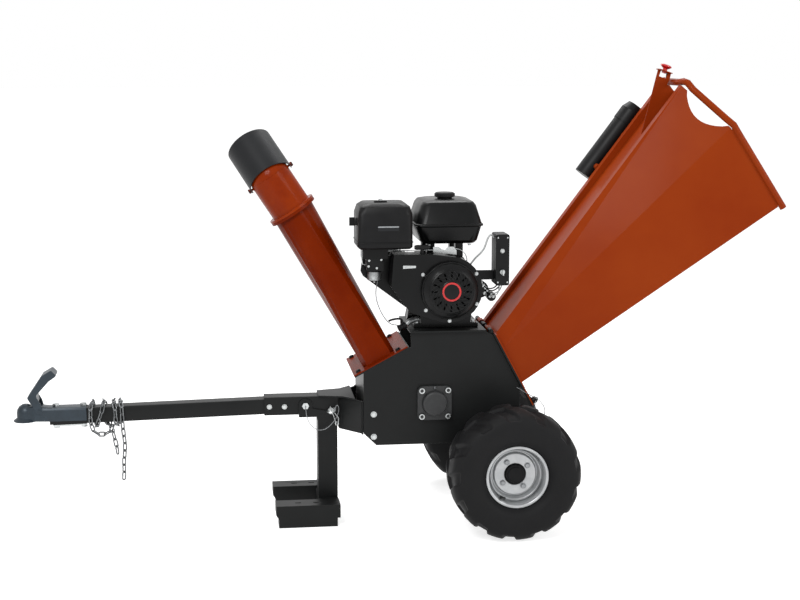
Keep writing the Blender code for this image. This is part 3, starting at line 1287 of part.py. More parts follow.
def tube_saddles(shell, square):
    """Two short posts on the hopper's far side that the document tube lies on."""
    surface = bmesh.new()
    surface.from_mesh(shell)
    tree = BVHTree.FromBMesh(surface)
    surface.free()
    start, along = document_axis(square)
    posts = []
    for reach in SADDLE_PLACES:
        point = start + along * reach
        foot, normal, _, _ = tree.find_nearest(point)
        post = rod(foot - normal * HOPPER_SHEET / 2, point, SADDLE_RADIUS)
        posts.append(cut(post, [rod(point - along * 0.03, point + along * 0.03, DOCUMENT_RADIUS + 0.0008, 24)]))
    return posts


def make_document_tube(hopper, square):
    """The plastic tube for papers on the far side of the hopper, with its cap."""
    start, along = document_axis(square)
    end = start + along * DOCUMENT_LENGTH
    wall = 0.0025
    profile = [(0.0, 0.0), (DOCUMENT_RADIUS, 0.0), (DOCUMENT_RADIUS, DOCUMENT_LENGTH),
               (DOCUMENT_RADIUS - wall, DOCUMENT_LENGTH), (DOCUMENT_RADIUS - wall, 0.003), (0.0, 0.003)]
    frame = aimed(start, along)
    tube = moved(turned(profile, 24), frame)
    node("document_tube", tube, "black_plastic", hopper)
    lid = body("document_cap_axis", end, hopper)
    inner = DOCUMENT_RADIUS + GAP
    profile = [(inner, 0.0), (inner + 0.002, 0.0), (inner + 0.002, 0.045), (inner - 0.008, DOCUMENT_CAP_LENGTH),
               (0.0, DOCUMENT_CAP_LENGTH), (0.0, DOCUMENT_CAP_LENGTH - 0.003),
               (inner - 0.010, DOCUMENT_CAP_LENGTH - 0.003),
               (inner, 0.043)]
    cap = moved(turned(profile, 24, ring=True), aimed(end - along * 0.020, along))
    node("document_cap", cap, "black_plastic", lid)


# Engine


def make_crankcase(engine):
    """The crankcase with its feet, side cover and oil cap."""
    c = CRANK_X
    low = DECK_TOP + GAP
    outline = [(c - CASE_HALF_WIDTH, low), (c + CASE_HALF_WIDTH, low), (c + CASE_HALF_WIDTH, low + 0.012),
               (c + 0.078, low + 0.014), (c + 0.086, 0.700), (c + 0.086, 0.790), (c + 0.055, 0.842),
               (c - 0.075, 0.842), (c - 0.098, 0.800), (c - 0.090, 0.690), (c - 0.078, low + 0.014),
               (c - CASE_HALF_WIDTH, low + 0.012)]
    case = prism(outline, CASE_NEAR_Y, CASE_FAR_Y)
    cover = turned([(0.0, -0.005), (0.086, -0.005), (0.086, 0.006), (0.076, 0.012), (0.036, 0.014), (0.032, 0.024),
                    (0.0, 0.024)], 24)
    cover = moved(cover, aimed((c, CASE_FAR_Y, CRANK_Z), (0, 1, 0)))
    cap_profile = [(0.0, -0.01), (0.014, -0.01), (0.014, 0.020), (0.019, 0.020), (0.019, 0.034), (0.0, 0.036)]
    cap = moved(turned(cap_profile, 12),
                aimed((c - 0.084, -0.045, 0.655), (-1, 0, 0.15)))
    deck = moved(box((-0.042, 0.042), (-0.042, 0.042), (0.060, CYLINDER_START - GAP)), CYLINDER_FRAME)
    bore = y_rod(c, CRANK_Z, 0.0125 + GAP, 0.03, 0.2, STEPS)
    shape = cut(fuse(case, [cover, cap, deck]), [bore])
    node("crankcase", shape, "engine_black", engine)


def make_cylinder(engine):
    """The finned cylinder and head, leaning towards the chute, with the valve cover."""
    frame = CYLINDER_FRAME
    start = CYLINDER_START
    pitch = FIN_PITCH
    rings = []

    def square_ring(half, height):
        return [(x, y, height) for x, y in rectangle(half, half, 0.012, 1)]

    for index in range(FIN_COUNT):
        low = start + index * pitch
        rings += [square_ring(0.040, low), square_ring(0.054, low), square_ring(0.054, low + 0.004),
                  square_ring(0.040, low + 0.004)]
    end = start + FIN_COUNT * pitch
    rings += [square_ring(0.040, end), square_ring(HEAD_HALF, end), square_ring(HEAD_HALF, end + 0.020),
              square_ring(0.040, end + 0.024)]
    node("cylinder", moved(loft(rings), frame), "engine_alloy", engine)


def shroud_outline():
    """The blower housing's front outline, as X and Z."""
    centre = (CRANK_X, CRANK_Z)
    points = arc(0.104, -110, 75, 16, centre)
    points += [(-0.235, SHROUD_TOP_Z), (-0.352, SHROUD_TOP_Z), (-0.360, 0.760), (-0.300, 0.680)]
    return points


def make_blower(engine):
    """The blower housing, open at its back, and the recoil starter on its front."""
    outline = shroud_outline()
    shell = prism(outline, SHROUD_FRONT_Y, SHROUD_BACK_Y)
    hollow = prism(inset(outline, SHROUD_SHEET), SHROUD_FRONT_Y + SHROUD_SHEET, SHROUD_BACK_Y + 0.02)
    mouth = y_rod(CRANK_X, CRANK_Z, RECOIL_RADIUS - 0.010, SHROUD_FRONT_Y - 0.01, SHROUD_FRONT_Y + 0.01, 24)
    node("blower_housing", cut(shell, [hollow, mouth]), "engine_black", engine)
    depth = RECOIL_DEPTH
    wall = 0.002
    profile = [(RECOIL_RADIUS, 0.0), (RECOIL_RADIUS, depth * 0.45), (0.078, depth * 0.80), (0.066, depth),
               (0.034, depth),
               (0.031, depth + 0.002), (0.0, depth + 0.002), (0.0, depth - wall), (0.032, depth - wall),
               (0.065, depth - wall), (0.077, depth * 0.80 - wall), (RECOIL_RADIUS - wall, depth * 0.42),
               (RECOIL_RADIUS - wall, 0.0)]
    cover = turned(profile, STEPS, ring=True)
    slots = []
    for index in range(LOUVRE_COUNT):
        angle = 2 * math.pi * index / LOUVRE_COUNT
        slot = prism([(0.040, -0.002), (0.062, -0.004), (0.062, 0.002), (0.040, 0.002)],
                     depth - 0.01, depth + 0.01, "Z")
        slots.append(moved(slot, Matrix.Rotation(angle, 4, "Z")))
    place = aimed((CRANK_X, SHROUD_FRONT_Y - GAP, CRANK_Z), (0, -1, 0))
    node("recoil_starter", moved(cut(cover, slots), place), "engine_black", engine)


def make_starter_handle(engine):
    """The pull handle, which rests on its guide above the blower housing."""
    x, y = CRANK_X - 0.084, SHROUD_FRONT_Y + 0.016
    base = SHROUD_TOP_Z + GAP
    handle = body("starter_handle_axis", (x, y, base), engine)
    grip = turned([(0.0, -0.024), (0.006, -0.024), (0.008, -0.018), (0.008, 0.018), (0.006, 0.024), (0.0, 0.024)])
    grip = moved(grip, aimed((x, y, base + 0.020), (1, 0, 0)))
    neck = rod((x, y, base), (x, y, base + 0.018), 0.006)
    node("starter_handle", fuse(grip, [neck]), "black_plastic", handle)


def make_tank(engine):
    """The fuel tank with its seam, and the cap on it."""
    def ring(z, half_x, half_y, radius):
        return [(x, y, z) for x, y in rectangle(half_x, half_y, radius, 3, (-0.172, -0.008))]
    rings = [ring(TANK_LOW_Z, 0.082, 0.095, 0.02), ring(TANK_LOW_Z + 0.010, 0.092, 0.106, 0.03),
             ring(0.943, 0.103, 0.118, 0.03), ring(0.944, 0.108, 0.123, 0.03), ring(0.950, 0.108, 0.123, 0.03),
             ring(0.951, 0.104, 0.119, 0.03), ring(1.006, 0.088, 0.104, 0.03), ring(1.017, 0.080, 0.096, 0.03),
             ring(TANK_TOP_Z, 0.060, 0.076, 0.03)]
    legs = [box((x - 0.012, x + 0.012), (y - 0.015, y + 0.015), (0.842 + GAP, TANK_LOW_Z + 0.005))
            for x in (-0.225, -0.135) for y in (-0.060, 0.060)]
    node("fuel_tank", fuse(loft(rings), legs), "engine_black", engine)
    centre = (-0.174, -0.020, TANK_TOP_Z + GAP)
    lid = body("fuel_cap_axis", centre, engine)
    cap = [(0.0, 0.0), (0.024, 0.0), (0.024, 0.004), (0.031, 0.005), (0.031, 0.016), (0.028, 0.019), (0.0, 0.019)]
    node("fuel_cap", moved(turned(cap, 20), Matrix.Translation(centre)), "black_plastic", lid)


def make_air_filter(engine):
    """The air filter cover, its knob and the carburettor under it."""
    def ring(z, half_x, half_y, radius):
        return [(x, y, z) for x, y in rectangle(half_x, half_y, radius, 3, (-0.376, -0.072))]
    rings = [ring(0.878, 0.078, 0.076, 0.015), ring(0.884, 0.085, 0.083, 0.018), ring(0.985, 0.085, 0.083, 0.022),
             ring(1.008, 0.078, 0.076, 0.024), ring(1.018, 0.064, 0.062, 0.024)]
    centre = (-0.461, -0.09, 0.960)
    stem = turned([(0.0, -0.009), (0.004, -0.009), (0.004, 0.0), (0.012, 0.0), (0.012, 0.006), (0.009, 0.008),
                   (0.0, 0.008)], 16)
    wing = box((-0.013, 0.013), (-0.003, 0.003), (0.004, 0.022))
    knob = moved(fuse(stem, [wing]), aimed(centre, (-1, 0, 0)))
    node("air_filter_cover", fuse(loft(rings), [knob]), "black_plastic", engine)


def make_carburettor(engine):
    """Carburettor with its float bowl and the elbow up to the air filter."""
    block = box((-0.432, -0.378), (-0.112, -0.064), (0.806, 0.850))
    bowl = moved(turned([(0.0, -0.032), (0.015, -0.032), (0.021, -0.028), (0.021, 0.004), (0.0, 0.004)], 16),
                 Matrix.Translation((-0.405, -0.088, 0.804)))
    elbow = box((-0.445, -0.366), (-0.125, -0.058), (0.846, 0.8777))
    neck = y_rod(-0.386, 0.832, 0.0085, -0.070, -HEAD_HALF - GAP)
    node("carburettor", fuse(block, [bowl, elbow, neck]), "engine_alloy", engine)


def make_muffler(engine):
    """The muffler on the far side, with its tail pipe."""
    def ring(z, half_x, half_y, radius):
        return [(x, y, z) for x, y in rectangle(half_x, half_y, radius, 3, (-0.372, 0.084))]
    rings = [ring(0.884, 0.060, 0.034, 0.02), ring(0.890, 0.068, 0.042, 0.02), ring(0.992, 0.068, 0.042, 0.02),
             ring(0.998, 0.060, 0.034, 0.02)]
    x, y, z = -0.384, 0.084, 0.836
    pipe = [rod((x, y, z - 0.006), (x, y, 0.890), 0.012), rod((x, HEAD_HALF + GAP, z), (x, y, z), 0.009)]
    node("muffler", fuse(loft(rings), pipe), "engine_black", engine)


def make_controls(engine):
    """The control box with its key switch, the choke lever and the starter motor."""
    outline = rounded([(-0.029, 0.757), (0.014, 0.757), (0.014, 0.918), (-0.029, 0.918)], 0.006, 2)
    case = prism(outline, -0.135, -0.060)
    strap = box((-0.086, -0.027), (SHROUD_BACK_Y + GAP, -0.082), (0.770, 0.800))
    keyhole = y_rod(-0.008, 0.800, 0.008 + GAP, -0.15, -0.118, 12)
    node("control_box", cut(fuse(case, [strap]), [keyhole]), "black_plastic", engine)
    centre = (-0.008, -0.135 - GAP, 0.800)
    key = body("key_switch_axis", centre, engine)
    barrel = turned([(0.0, -0.012), (0.008, -0.012), (0.008, 0.003), (0.0, 0.003)], 12)
    blade = box((-0.002, 0.002), (-0.009, 0.009), (0.002, 0.018))
    node("key_switch", moved(fuse(barrel, [blade]), aimed(centre, (0, -1, 0))), "zinc", key)
    centre = (-0.318, SHROUD_FRONT_Y - GAP, 0.824)
    choke = body("choke_axis", centre, engine)
    arm = rounded([(-0.006, -0.005), (0.034, -0.003), (0.034, 0.004), (-0.006, 0.005)], 0.002, 2)
    lever = prism([(centre[0] + x, centre[2] + z) for x, z in arm], centre[1] - 0.004, centre[1])
    node("choke_lever", lever, "zinc", choke)
    motor = [(0.0, 0.0), (0.020, 0.0), (0.027, 0.006), (0.027, 0.110), (0.012, 0.116), (0.0, 0.116)]
    place = aimed((-0.0647, 0.046, 0.735), (0, -1, 0))
    node("starter_motor", moved(turned(motor, 16), place), "engine_black", engine)


def make_crank(chassis):
    """The engine's output shaft and the clutch pulley."""
    crank = body("crank_axis", (CRANK_X, 0.0, CRANK_Z), chassis)
    end = BELT_PLANE_Y + BELT_WIDTH / 2 + 0.004
    node("crankshaft", y_rod(CRANK_X, CRANK_Z, 0.0125, 0.04, end, 16), "steel", crank)
    node("clutch_pulley", pulley_mesh(CLUTCH_PULLEY_RADIUS, 0.0125, CRANK_X, CRANK_Z), "cast_iron", crank)


def centre_on_floor(root):
    """Move the model so that its origin lies under the middle of its bounding box."""
    bpy.context.view_layer.update()
    graph = bpy.context.evaluated_depsgraph_get()
    corners = []
    for piece in bpy.data.objects:
        if piece.type == "EMPTY":
            continue
        made = piece.evaluated_get(graph)
        mesh = made.to_mesh()
        corners += [piece.matrix_world @ vertex.co for vertex in mesh.vertices]
        made.to_mesh_clear()
    xs = [point.x for point in corners]
    ys = [point.y for point in corners]
    zs = [point.z for point in corners]
    shift = Vector((-(min(xs) + max(xs)) / 2, -(min(ys) + max(ys)) / 2, -min(zs)))
    root["empty"].location = root["empty"].location + shift
    bpy.context.view_layer.update()


clear_scene()
PAINTS = make_materials()
ROOT = body("chassis", (0.0, 0.0, 0.0), None)
make_side_plates(ROOT)
make_rotor_housing(ROOT)
make_throat_flange(ROOT)
make_deck(ROOT)
make_anvil(ROOT)
make_bearings(ROOT)
make_axle(ROOT)
make_wheels(ROOT)
make_rotor(ROOT)
make_drive(ROOT)
make_tow_bracket(ROOT)
make_sleeve(ROOT)
make_drawbar(ROOT)
make_coupler(ROOT)
make_leg_bolt(ROOT)
make_coupler_handle(ROOT)
make_chain(ROOT)
make_leg(ROOT)
make_leg_pin(ROOT)
make_leg_lanyard(ROOT)
make_rear_lanyard(ROOT)
make_lower_chute(ROOT)
make_upper_chute(ROOT)
make_hopper(ROOT)
make_crankcase(ROOT)
make_cylinder(ROOT)
make_blower(ROOT)
make_starter_handle(ROOT)
make_tank(ROOT)
make_air_filter(ROOT)
make_carburettor(ROOT)
make_muffler(ROOT)
make_controls(ROOT)
make_crank(ROOT)
centre_on_floor(ROOT)
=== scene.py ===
"""The looks of the towable petrol wood chipper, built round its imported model.

Places are written in the machine's own frame, as in the part's source: X = 0 at the wheel axle and
growing towards the feed hopper, Y = 0 on the centre plane with the camera on the low side, Z = 0
on the ground. at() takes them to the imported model's frame.
"""

import json
import math

import bmesh
import bpy
import numpy as np
from mathutils import Matrix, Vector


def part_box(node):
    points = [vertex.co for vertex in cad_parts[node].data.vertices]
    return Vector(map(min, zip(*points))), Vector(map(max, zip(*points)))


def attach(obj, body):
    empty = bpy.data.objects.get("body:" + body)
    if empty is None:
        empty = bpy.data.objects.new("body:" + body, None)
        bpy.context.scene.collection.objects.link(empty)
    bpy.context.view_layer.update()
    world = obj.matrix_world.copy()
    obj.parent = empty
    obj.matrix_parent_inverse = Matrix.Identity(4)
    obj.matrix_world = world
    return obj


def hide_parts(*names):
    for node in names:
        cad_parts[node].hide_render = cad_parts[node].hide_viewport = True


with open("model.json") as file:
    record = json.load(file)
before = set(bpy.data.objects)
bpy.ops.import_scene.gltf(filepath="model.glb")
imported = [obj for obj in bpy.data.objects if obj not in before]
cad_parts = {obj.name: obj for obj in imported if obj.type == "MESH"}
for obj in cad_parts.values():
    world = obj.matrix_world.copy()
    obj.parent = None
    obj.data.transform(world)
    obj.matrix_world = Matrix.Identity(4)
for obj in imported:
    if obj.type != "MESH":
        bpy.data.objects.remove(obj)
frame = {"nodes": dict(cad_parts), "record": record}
NODES = frame["nodes"]
BODY_OF = {node: body for body, nodes in frame["record"]["behaviour"]["bodies"].items() for node in nodes}
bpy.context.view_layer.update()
SLOT_OF = {node: item.data.materials[0].name.split(".")[0] for node, item in NODES.items()}

AXLE_X = (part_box("tyre_near")[0].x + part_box("tyre_near")[1].x) / 2
MM = 0.001

# Camera, as solved from the photograph
PHOTO_WIDTH = 800
FOCAL_PIXELS = 1527.34
CAMERA_PLACE = (-0.9123, -4.7803, 1.4767)
CAMERA_YAW = math.radians(7.139)
CAMERA_PITCH = math.radians(9.207)

# Machine sizes that several pieces share
WHEEL_Y = 0.2995
WHEEL_Z = 0.203
LUG_COUNT = 13
LUG_DEPTH = 0.009
LUG_SLANT = 0.45
LUG_STEPS = 24
TYRE_HALF_WIDTH = 0.0945
RIB_HEIGHT = 0.0006
RIB_WIDTH = 0.0016
RIB_RADII = (0.121, 0.1665)
GAP = 0.0003
SLEEVE_Z = 0.366
DROOP_X = -0.676
DROOP = math.radians(-1.25)
DRAWBAR = 0.05
TUBE_CORNER = 0.005
CHAIN_RADIUS = 0.0085
CHAIN_FIT = 0.001
LINK_WIRE = 0.0023
LINK_PITCH = 0.0232
LANYARD_RADIUS = 0.0012
LEG_PIVOT = (-0.621, 0.367)
ROTOR_X = -0.222
ROTOR_Z = 0.39
CRANK = (-0.178, 0.75)
COLLAR = (-0.654, 0.9885)
CHUTE_LEAN = math.radians(33.2)
HOOD_PIVOT = 0.122
ELBOW_RADII = (0.0655, 0.0637)
CHUTE_FLANGE = (-0.445, 0.488)
CHUTE_FLANGE_TOP = 0.0088
OUTLET_LEAN = math.radians(28)
LEG_PIN = (-0.54, 0.349)
PIN_RING_RADIUS = 0.013
SIDE_PLATE_Y = 0.135
BEARING_Y = 0.1559
BEARING_HALF_PITCH = 0.0415
LEG_BOLT_SEAT = 0.0355
LEG_BOLT_HEAD = 0.0075
LATCH_EYE = (0.04, 0.432)
LATCH_PIN = (0.1017, -0.1393, 0.3871)
HOOP_LOW = (0.846, 0.222, 1.002)
HOOP_BEND = (0.688, 0.21, 1.248)
AIR_BOX = (-0.385, -0.08)
AIR_BOX_Y = -0.155
COVER_BACK = -0.1583
COVER_FRONT = -0.2003
SHROUD_Y = -0.158
VANE_COUNT = 24
VANE_POINTS = 9
CARBURETTOR_Y = -0.112
FLOAT_BOWL = (-0.405, -0.088)
CONTROL_BOX_Y = -0.135
FORWARD = (0, -1, 0)

# Wheel bolts and the valve, from the wheel's own axis
WHEEL_BOLT_CIRCLE = 0.046
WHEEL_BOLT_SEAT = 0.0301
VALVE_ANGLE = math.radians(235)
VALVE_RADIUS = 0.0815
VALVE_SEAT = 0.0475
VALVE_LEAN = 0.25

# Bolt heads and washers, as multiples of the bolt's radius, and the turn of the head's corners
HEAD_RADIUS = 1.8
HEAD_TALL = 1.25
WASHER_TALL = 0.35
HEAD_TURN = 0.3

# Distances below which points are welded, and angles up to which faces count as flat or smooth
WELD = 0.000002
NODE_WELD = 0.00001
FLAT_DEGREES = 0.3
EDGE_DEGREES = 32
SMOOTH_DEGREES = 38
SHARP_DEGREES = {"hopper_shell": 9}

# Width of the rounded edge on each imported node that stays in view
EDGES_MM = {"hopper_shell": 0.8, "side_plate_near": 0.8, "side_plate_far": 0.8, "drawbar_tube": 0.5,
            "drawbar_sleeve": 0.8, "parking_leg": 1.5, "leg_feet": 2.0, "axle_beam": 2.0, "tow_bracket": 1.0,
            "engine_deck": 1.0, "throat_flange": 0.8, "rotor_housing": 0.8, "lower_chute": 0.6,
            "upper_chute": 0.6, "chute_hood": 0.6, "stop_bracket": 0.6, "coupler_body": 1.0,
            "coupler_handle": 1.0, "bearing_near": 1.2, "bearing_far": 1.2, "blower_housing": 2.0,
            "fuel_tank": 2.0, "air_filter_cover": 3.0, "crankcase": 2.0, "control_box": 3.0,
            "recoil_starter": 1.0, "carburettor": 1.0, "muffler": 1.5, "belt_guard": 2.0,
            "document_tube": 0.6, "document_cap": 0.8, "mouth_hoop": 0.0, "starter_handle": 1.0,
            "starter_motor": 1.0, "fuel_cap": 0.8, "stop_button": 0.4, "cylinder": 0.6}

# Studio: floor, surround and lamps (name, place, target, width, watts)
FLOOR_HALF_WIDTH = 60.0
FLOOR_GLOW = 0.72
SKY_LIGHT = 0.42
LAMPS = (("key_lamp", (-2.2, -3.4, 3.6), (0.0, 0.0, 0.5), 1.8, 105),
         ("fill_lamp", (3.2, -3.0, 2.2), (0.2, 0.0, 0.5), 2.4, 55),
         ("top_lamp", (-0.2, 1.6, 3.6), (0.0, 0.0, 0.6), 2.2, 65))


# Surfaces: every shape is a grid of points or an outline, worked out as whole arrays


def at(points):
    """Points of the machine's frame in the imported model's frame."""
    return np.asarray(points, float) + (AXLE_X, 0.0, 0.0)


def unit(vector):
    """A vector scaled to length one."""
    vector = np.asarray(vector, float)
    return vector / np.linalg.norm(vector, axis=-1, keepdims=True)


def turn_to(axis):
    """Rows are the local x, y and z directions when local z points along an axis."""
    z = unit(axis)
    side = np.array((0.0, 0.0, 1.0))
    if abs(z @ side) > 0.99:
        side = np.array((1.0, 0.0, 0.0))
    x = unit(np.cross(side, z))
    return np.array((x, np.cross(z, x), z))


def placed(points, origin, axis):
    """Local points turned so that z lies along an axis, and moved to an origin."""
    return np.asarray(points, float) @ turn_to(axis) + np.asarray(origin, float)


def put(surface, origin, axis):
    """A surface with its points placed and its faces as they are."""
    points, faces = surface
    return placed(points, origin, axis), faces


def facing(surface, x, y, z):
    """A surface whose height points at the camera, moved to a place on a front face."""
    points, faces = surface
    return np.column_stack([x + points[:, 0], y - points[:, 2], z + points[:, 1]]), faces


def grid_faces(rows, columns, wrap_rows=False, wrap_columns=True):
    """Quads between neighbouring rows and columns of a grid, closed round on request."""
    index = np.arange(rows * columns).reshape(rows, columns)
    if wrap_rows:
        index = np.vstack([index, index[:1]])
    if wrap_columns:
        index = np.hstack([index, index[:, :1]])
    quads = np.stack([index[:-1, :-1], index[:-1, 1:], index[1:, 1:], index[1:, :-1]], axis=-1)
    return quads.reshape(-1, 4).tolist()


def revolved(profile, steps, ring=False):
    """(r, h) of a profile carried round z: x = r cos a, y = r sin a, z = h."""
    r, h = np.asarray(profile, float).T
    a = np.linspace(0, 2 * np.pi, steps, endpoint=False)
    points = np.stack([np.outer(r, np.cos(a)), np.outer(r, np.sin(a)), np.outer(h, np.ones(steps))], axis=-1)
    return points.reshape(-1, 3), grid_faces(len(r), steps, wrap_rows=ring)


def carried_side(run, up):
    """A side direction carried along a path: each keeps what the last had square to the new run."""
    side = unit(np.cross(run[0], np.asarray(up, float) + (0.013, 0.007, 0.003)))
    sides = []
    for direction in run:
        side = unit(side - (side @ direction) * direction)
        sides.append(side)
    return np.array(sides)


def swept(path, radius, sides, up=(0.0, 0.0, 1.0), closed=False):
    """A tube: every path point carries a circle square to the path's direction there."""
    path = np.asarray(path, float)
    radius = np.broadcast_to(np.asarray(radius, float), len(path)).copy()
    if closed:
        run = unit(np.roll(path, -1, axis=0) - np.roll(path, 1, axis=0))
    else:
        run = unit(np.gradient(path, axis=0))
        path = np.vstack([path[:1], path, path[-1:]])
        run = np.vstack([run[:1], run, run[-1:]])
        radius = np.concatenate([[0.0], radius, [0.0]])
    side = unit(np.cross(run, np.asarray(up, float))) if closed else carried_side(run, up)
    over = np.cross(side, run)
    a = np.linspace(0, 2 * np.pi, sides, endpoint=False)
    circle = np.cos(a)[None, :, None] * side[:, None, :] + np.sin(a)[None, :, None] * over[:, None, :]
    points = path[:, None, :] + radius[:, None, None] * circle
    return points.reshape(-1, 3), grid_faces(len(path), sides, wrap_rows=closed)


def slab(outline, low, high):
    """An outline in x and y drawn out along z between two heights, with flat ends."""
    outline = np.asarray(outline, float)
    count = len(outline)
    points = np.vstack([np.column_stack([outline, np.full(count, height)]) for height in (low, high)])
    faces = grid_faces(2, count)
    return points, faces + [list(range(count)), list(range(count, 2 * count))]


def rounded_box(half, height, corner, steps):
    """A slab with quarter-circle corners, from half widths in x and y."""
    a = np.linspace(0, np.pi / 2, steps + 1)
    turns = [a + k * np.pi / 2 for k in range(4)]
    arcs = [np.column_stack([np.cos(turn), np.sin(turn)]) * corner for turn in turns]
    signs = np.array([(1, 1), (-1, 1), (-1, -1), (1, -1)])
    outline = np.vstack([arc + sign * (np.asarray(half) - corner) for arc, sign in zip(arcs, signs)])
    return slab(outline, 0.0, height)


def fine_path(points, per_run):
    """A smooth curve through points: each run is a Catmull-Rom cubic of its four neighbours."""
    p = np.asarray(points, float)
    p = np.vstack([2 * p[0] - p[1], p, 2 * p[-1] - p[-2]])
    t = np.linspace(0, 1, per_run, endpoint=False)[None, :, None]
    a, b, c, d = (p[k:len(p) - 3 + k][:, None, :] for k in range(4))
    square = 2 * a - 5 * b + 4 * c - d
    cube = 3 * b - a - 3 * c + d
    curve = 0.5 * (2 * b + (c - a) * t + square * t ** 2 + cube * t ** 3)
    return np.vstack([curve.reshape(-1, 3), p[-2:-1]])


def hex_bolt(place, axis, radius):
    """A hexagon head with a chamfered top on a round washer, standing on a surface."""
    head = radius * HEAD_RADIUS
    tall = radius * HEAD_TALL
    base = radius * WASHER_TALL
    points, faces = revolved([(0, base), (head, base), (head, base + tall * 0.86), (head * 0.88, base + tall),
                              (0, base + tall)], 6)
    c, s = math.cos(HEAD_TURN), math.sin(HEAD_TURN)
    turned = points @ np.array([(c, s, 0), (-s, c, 0), (0, 0, 1)])
    rim = [(radius * 2.3, 0), (radius * 2.35, base * 0.5), (radius * 2.25, base)]
    washer = revolved([(0, 0)] + rim + [(0, base)], 24)
    return [put((turned, faces), place, axis), put(washer, place, axis)]


def round_head(place, axis, radius, tall, hole=0.0):
    """A low screw head: a short cylinder with a rounded rim, and a dished socket if it has a hole."""
    a = np.linspace(0, np.pi / 2, 5)
    rim = [(radius * (0.75 + 0.25 * math.cos(t)), tall * (0.6 + 0.4 * math.sin(t))) for t in a]
    profile = [(0, 0), (radius, 0)] + rim
    if hole:
        profile += [(hole, tall), (hole * 0.92, tall * 0.4), (0, tall * 0.35)]
    else:
        profile += [(0, tall)]
    return put(revolved(profile, 20), place, axis)


def upright(outline, near, far):
    """A plate whose outline lies in x and z, between two y values."""
    points, faces = slab(outline, near, far)
    return points[:, (0, 2, 1)], faces


# Pieces


def added(name, data):
    """A new object in the scene."""
    item = bpy.data.objects.new(name, data)
    bpy.context.scene.collection.objects.link(item)
    return item


def finished(name, mesh, material, body, bevel, angle):
    """Smooth shading, an optional small bevel, its finish and the body that a piece rides on."""
    mesh.materials.clear()
    mesh.materials.append(material)
    mesh.shade_smooth()
    mesh.set_sharp_from_angle(angle=math.radians(angle))
    item = added(name, mesh)
    if bevel > 0:
        edges = item.modifiers.new("edges", "BEVEL")
        edges.width = bevel
        edges.segments = 2
        edges.limit_method = "ANGLE"
        edges.angle_limit = math.radians(EDGE_DEGREES)
        edges.harden_normals = True
    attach(item, body)
    return item


def piece(name, parts, material, body="chassis", bevel=0.0, angle=SMOOTH_DEGREES):
    """One object from any number of (points, faces) surfaces, welded and turned outwards."""
    points = []
    faces = []
    for part_points, part_faces in parts:
        faces += [[index + len(points) for index in face] for face in part_faces]
        points += at(part_points).tolist()
    mesh = bpy.data.meshes.new(name)
    mesh.from_pydata(points, [], faces)
    work = bmesh.new()
    work.from_mesh(mesh)
    bmesh.ops.remove_doubles(work, verts=work.verts, dist=WELD)
    bmesh.ops.recalc_face_normals(work, faces=work.faces)
    work.to_mesh(mesh)
    work.free()
    return finished(name, mesh, material, body, bevel, angle)


def bolt_set(name, places, axis, radius, material=None):
    """One piece of bolts that all stand along an axis, in zinc or another finish."""
    parts = [part for place in places for part in hex_bolt(place, axis, radius)]
    piece(name, parts, material or ZINC)


def softened(node, material, bevel, angle):
    """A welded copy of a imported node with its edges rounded, shown in the node's place."""
    mesh = NODES[node].data.copy()
    work = bmesh.new()
    work.from_mesh(mesh)
    bmesh.ops.remove_doubles(work, verts=work.verts, dist=NODE_WELD)
    bmesh.ops.dissolve_limit(work, angle_limit=math.radians(FLAT_DEGREES), verts=work.verts, edges=work.edges)
    for edge in work.edges:
        edge.smooth = True
    work.to_mesh(mesh)
    work.free()
    item = finished(node + "_skin", mesh, material, BODY_OF[node], bevel, angle)
    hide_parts(node)
    return item


# Materials


def linear(code):
    """An sRGB hex colour as linear red, green and blue."""
    channels = np.array([int(code[i:i + 2], 16) for i in (1, 3, 5)]) / 255
    bright = ((channels + 0.055) / 1.055) ** 2.4
    return tuple(np.where(channels <= 0.04045, channels / 12.92, bright)) + (1.0,)


def add(tree, kind, settings=None, links=None):
    """A shader node with its settings, and links into it from other nodes' sockets."""
    node = tree.nodes.new(kind)
    for key, value in (settings or {}).items():
        if key in node.inputs.keys():
            node.inputs[key].default_value = value
        else:
            setattr(node, key, value)
    for key, source in (links or {}).items():
        tree.links.new(source, node.inputs[key])
    return node


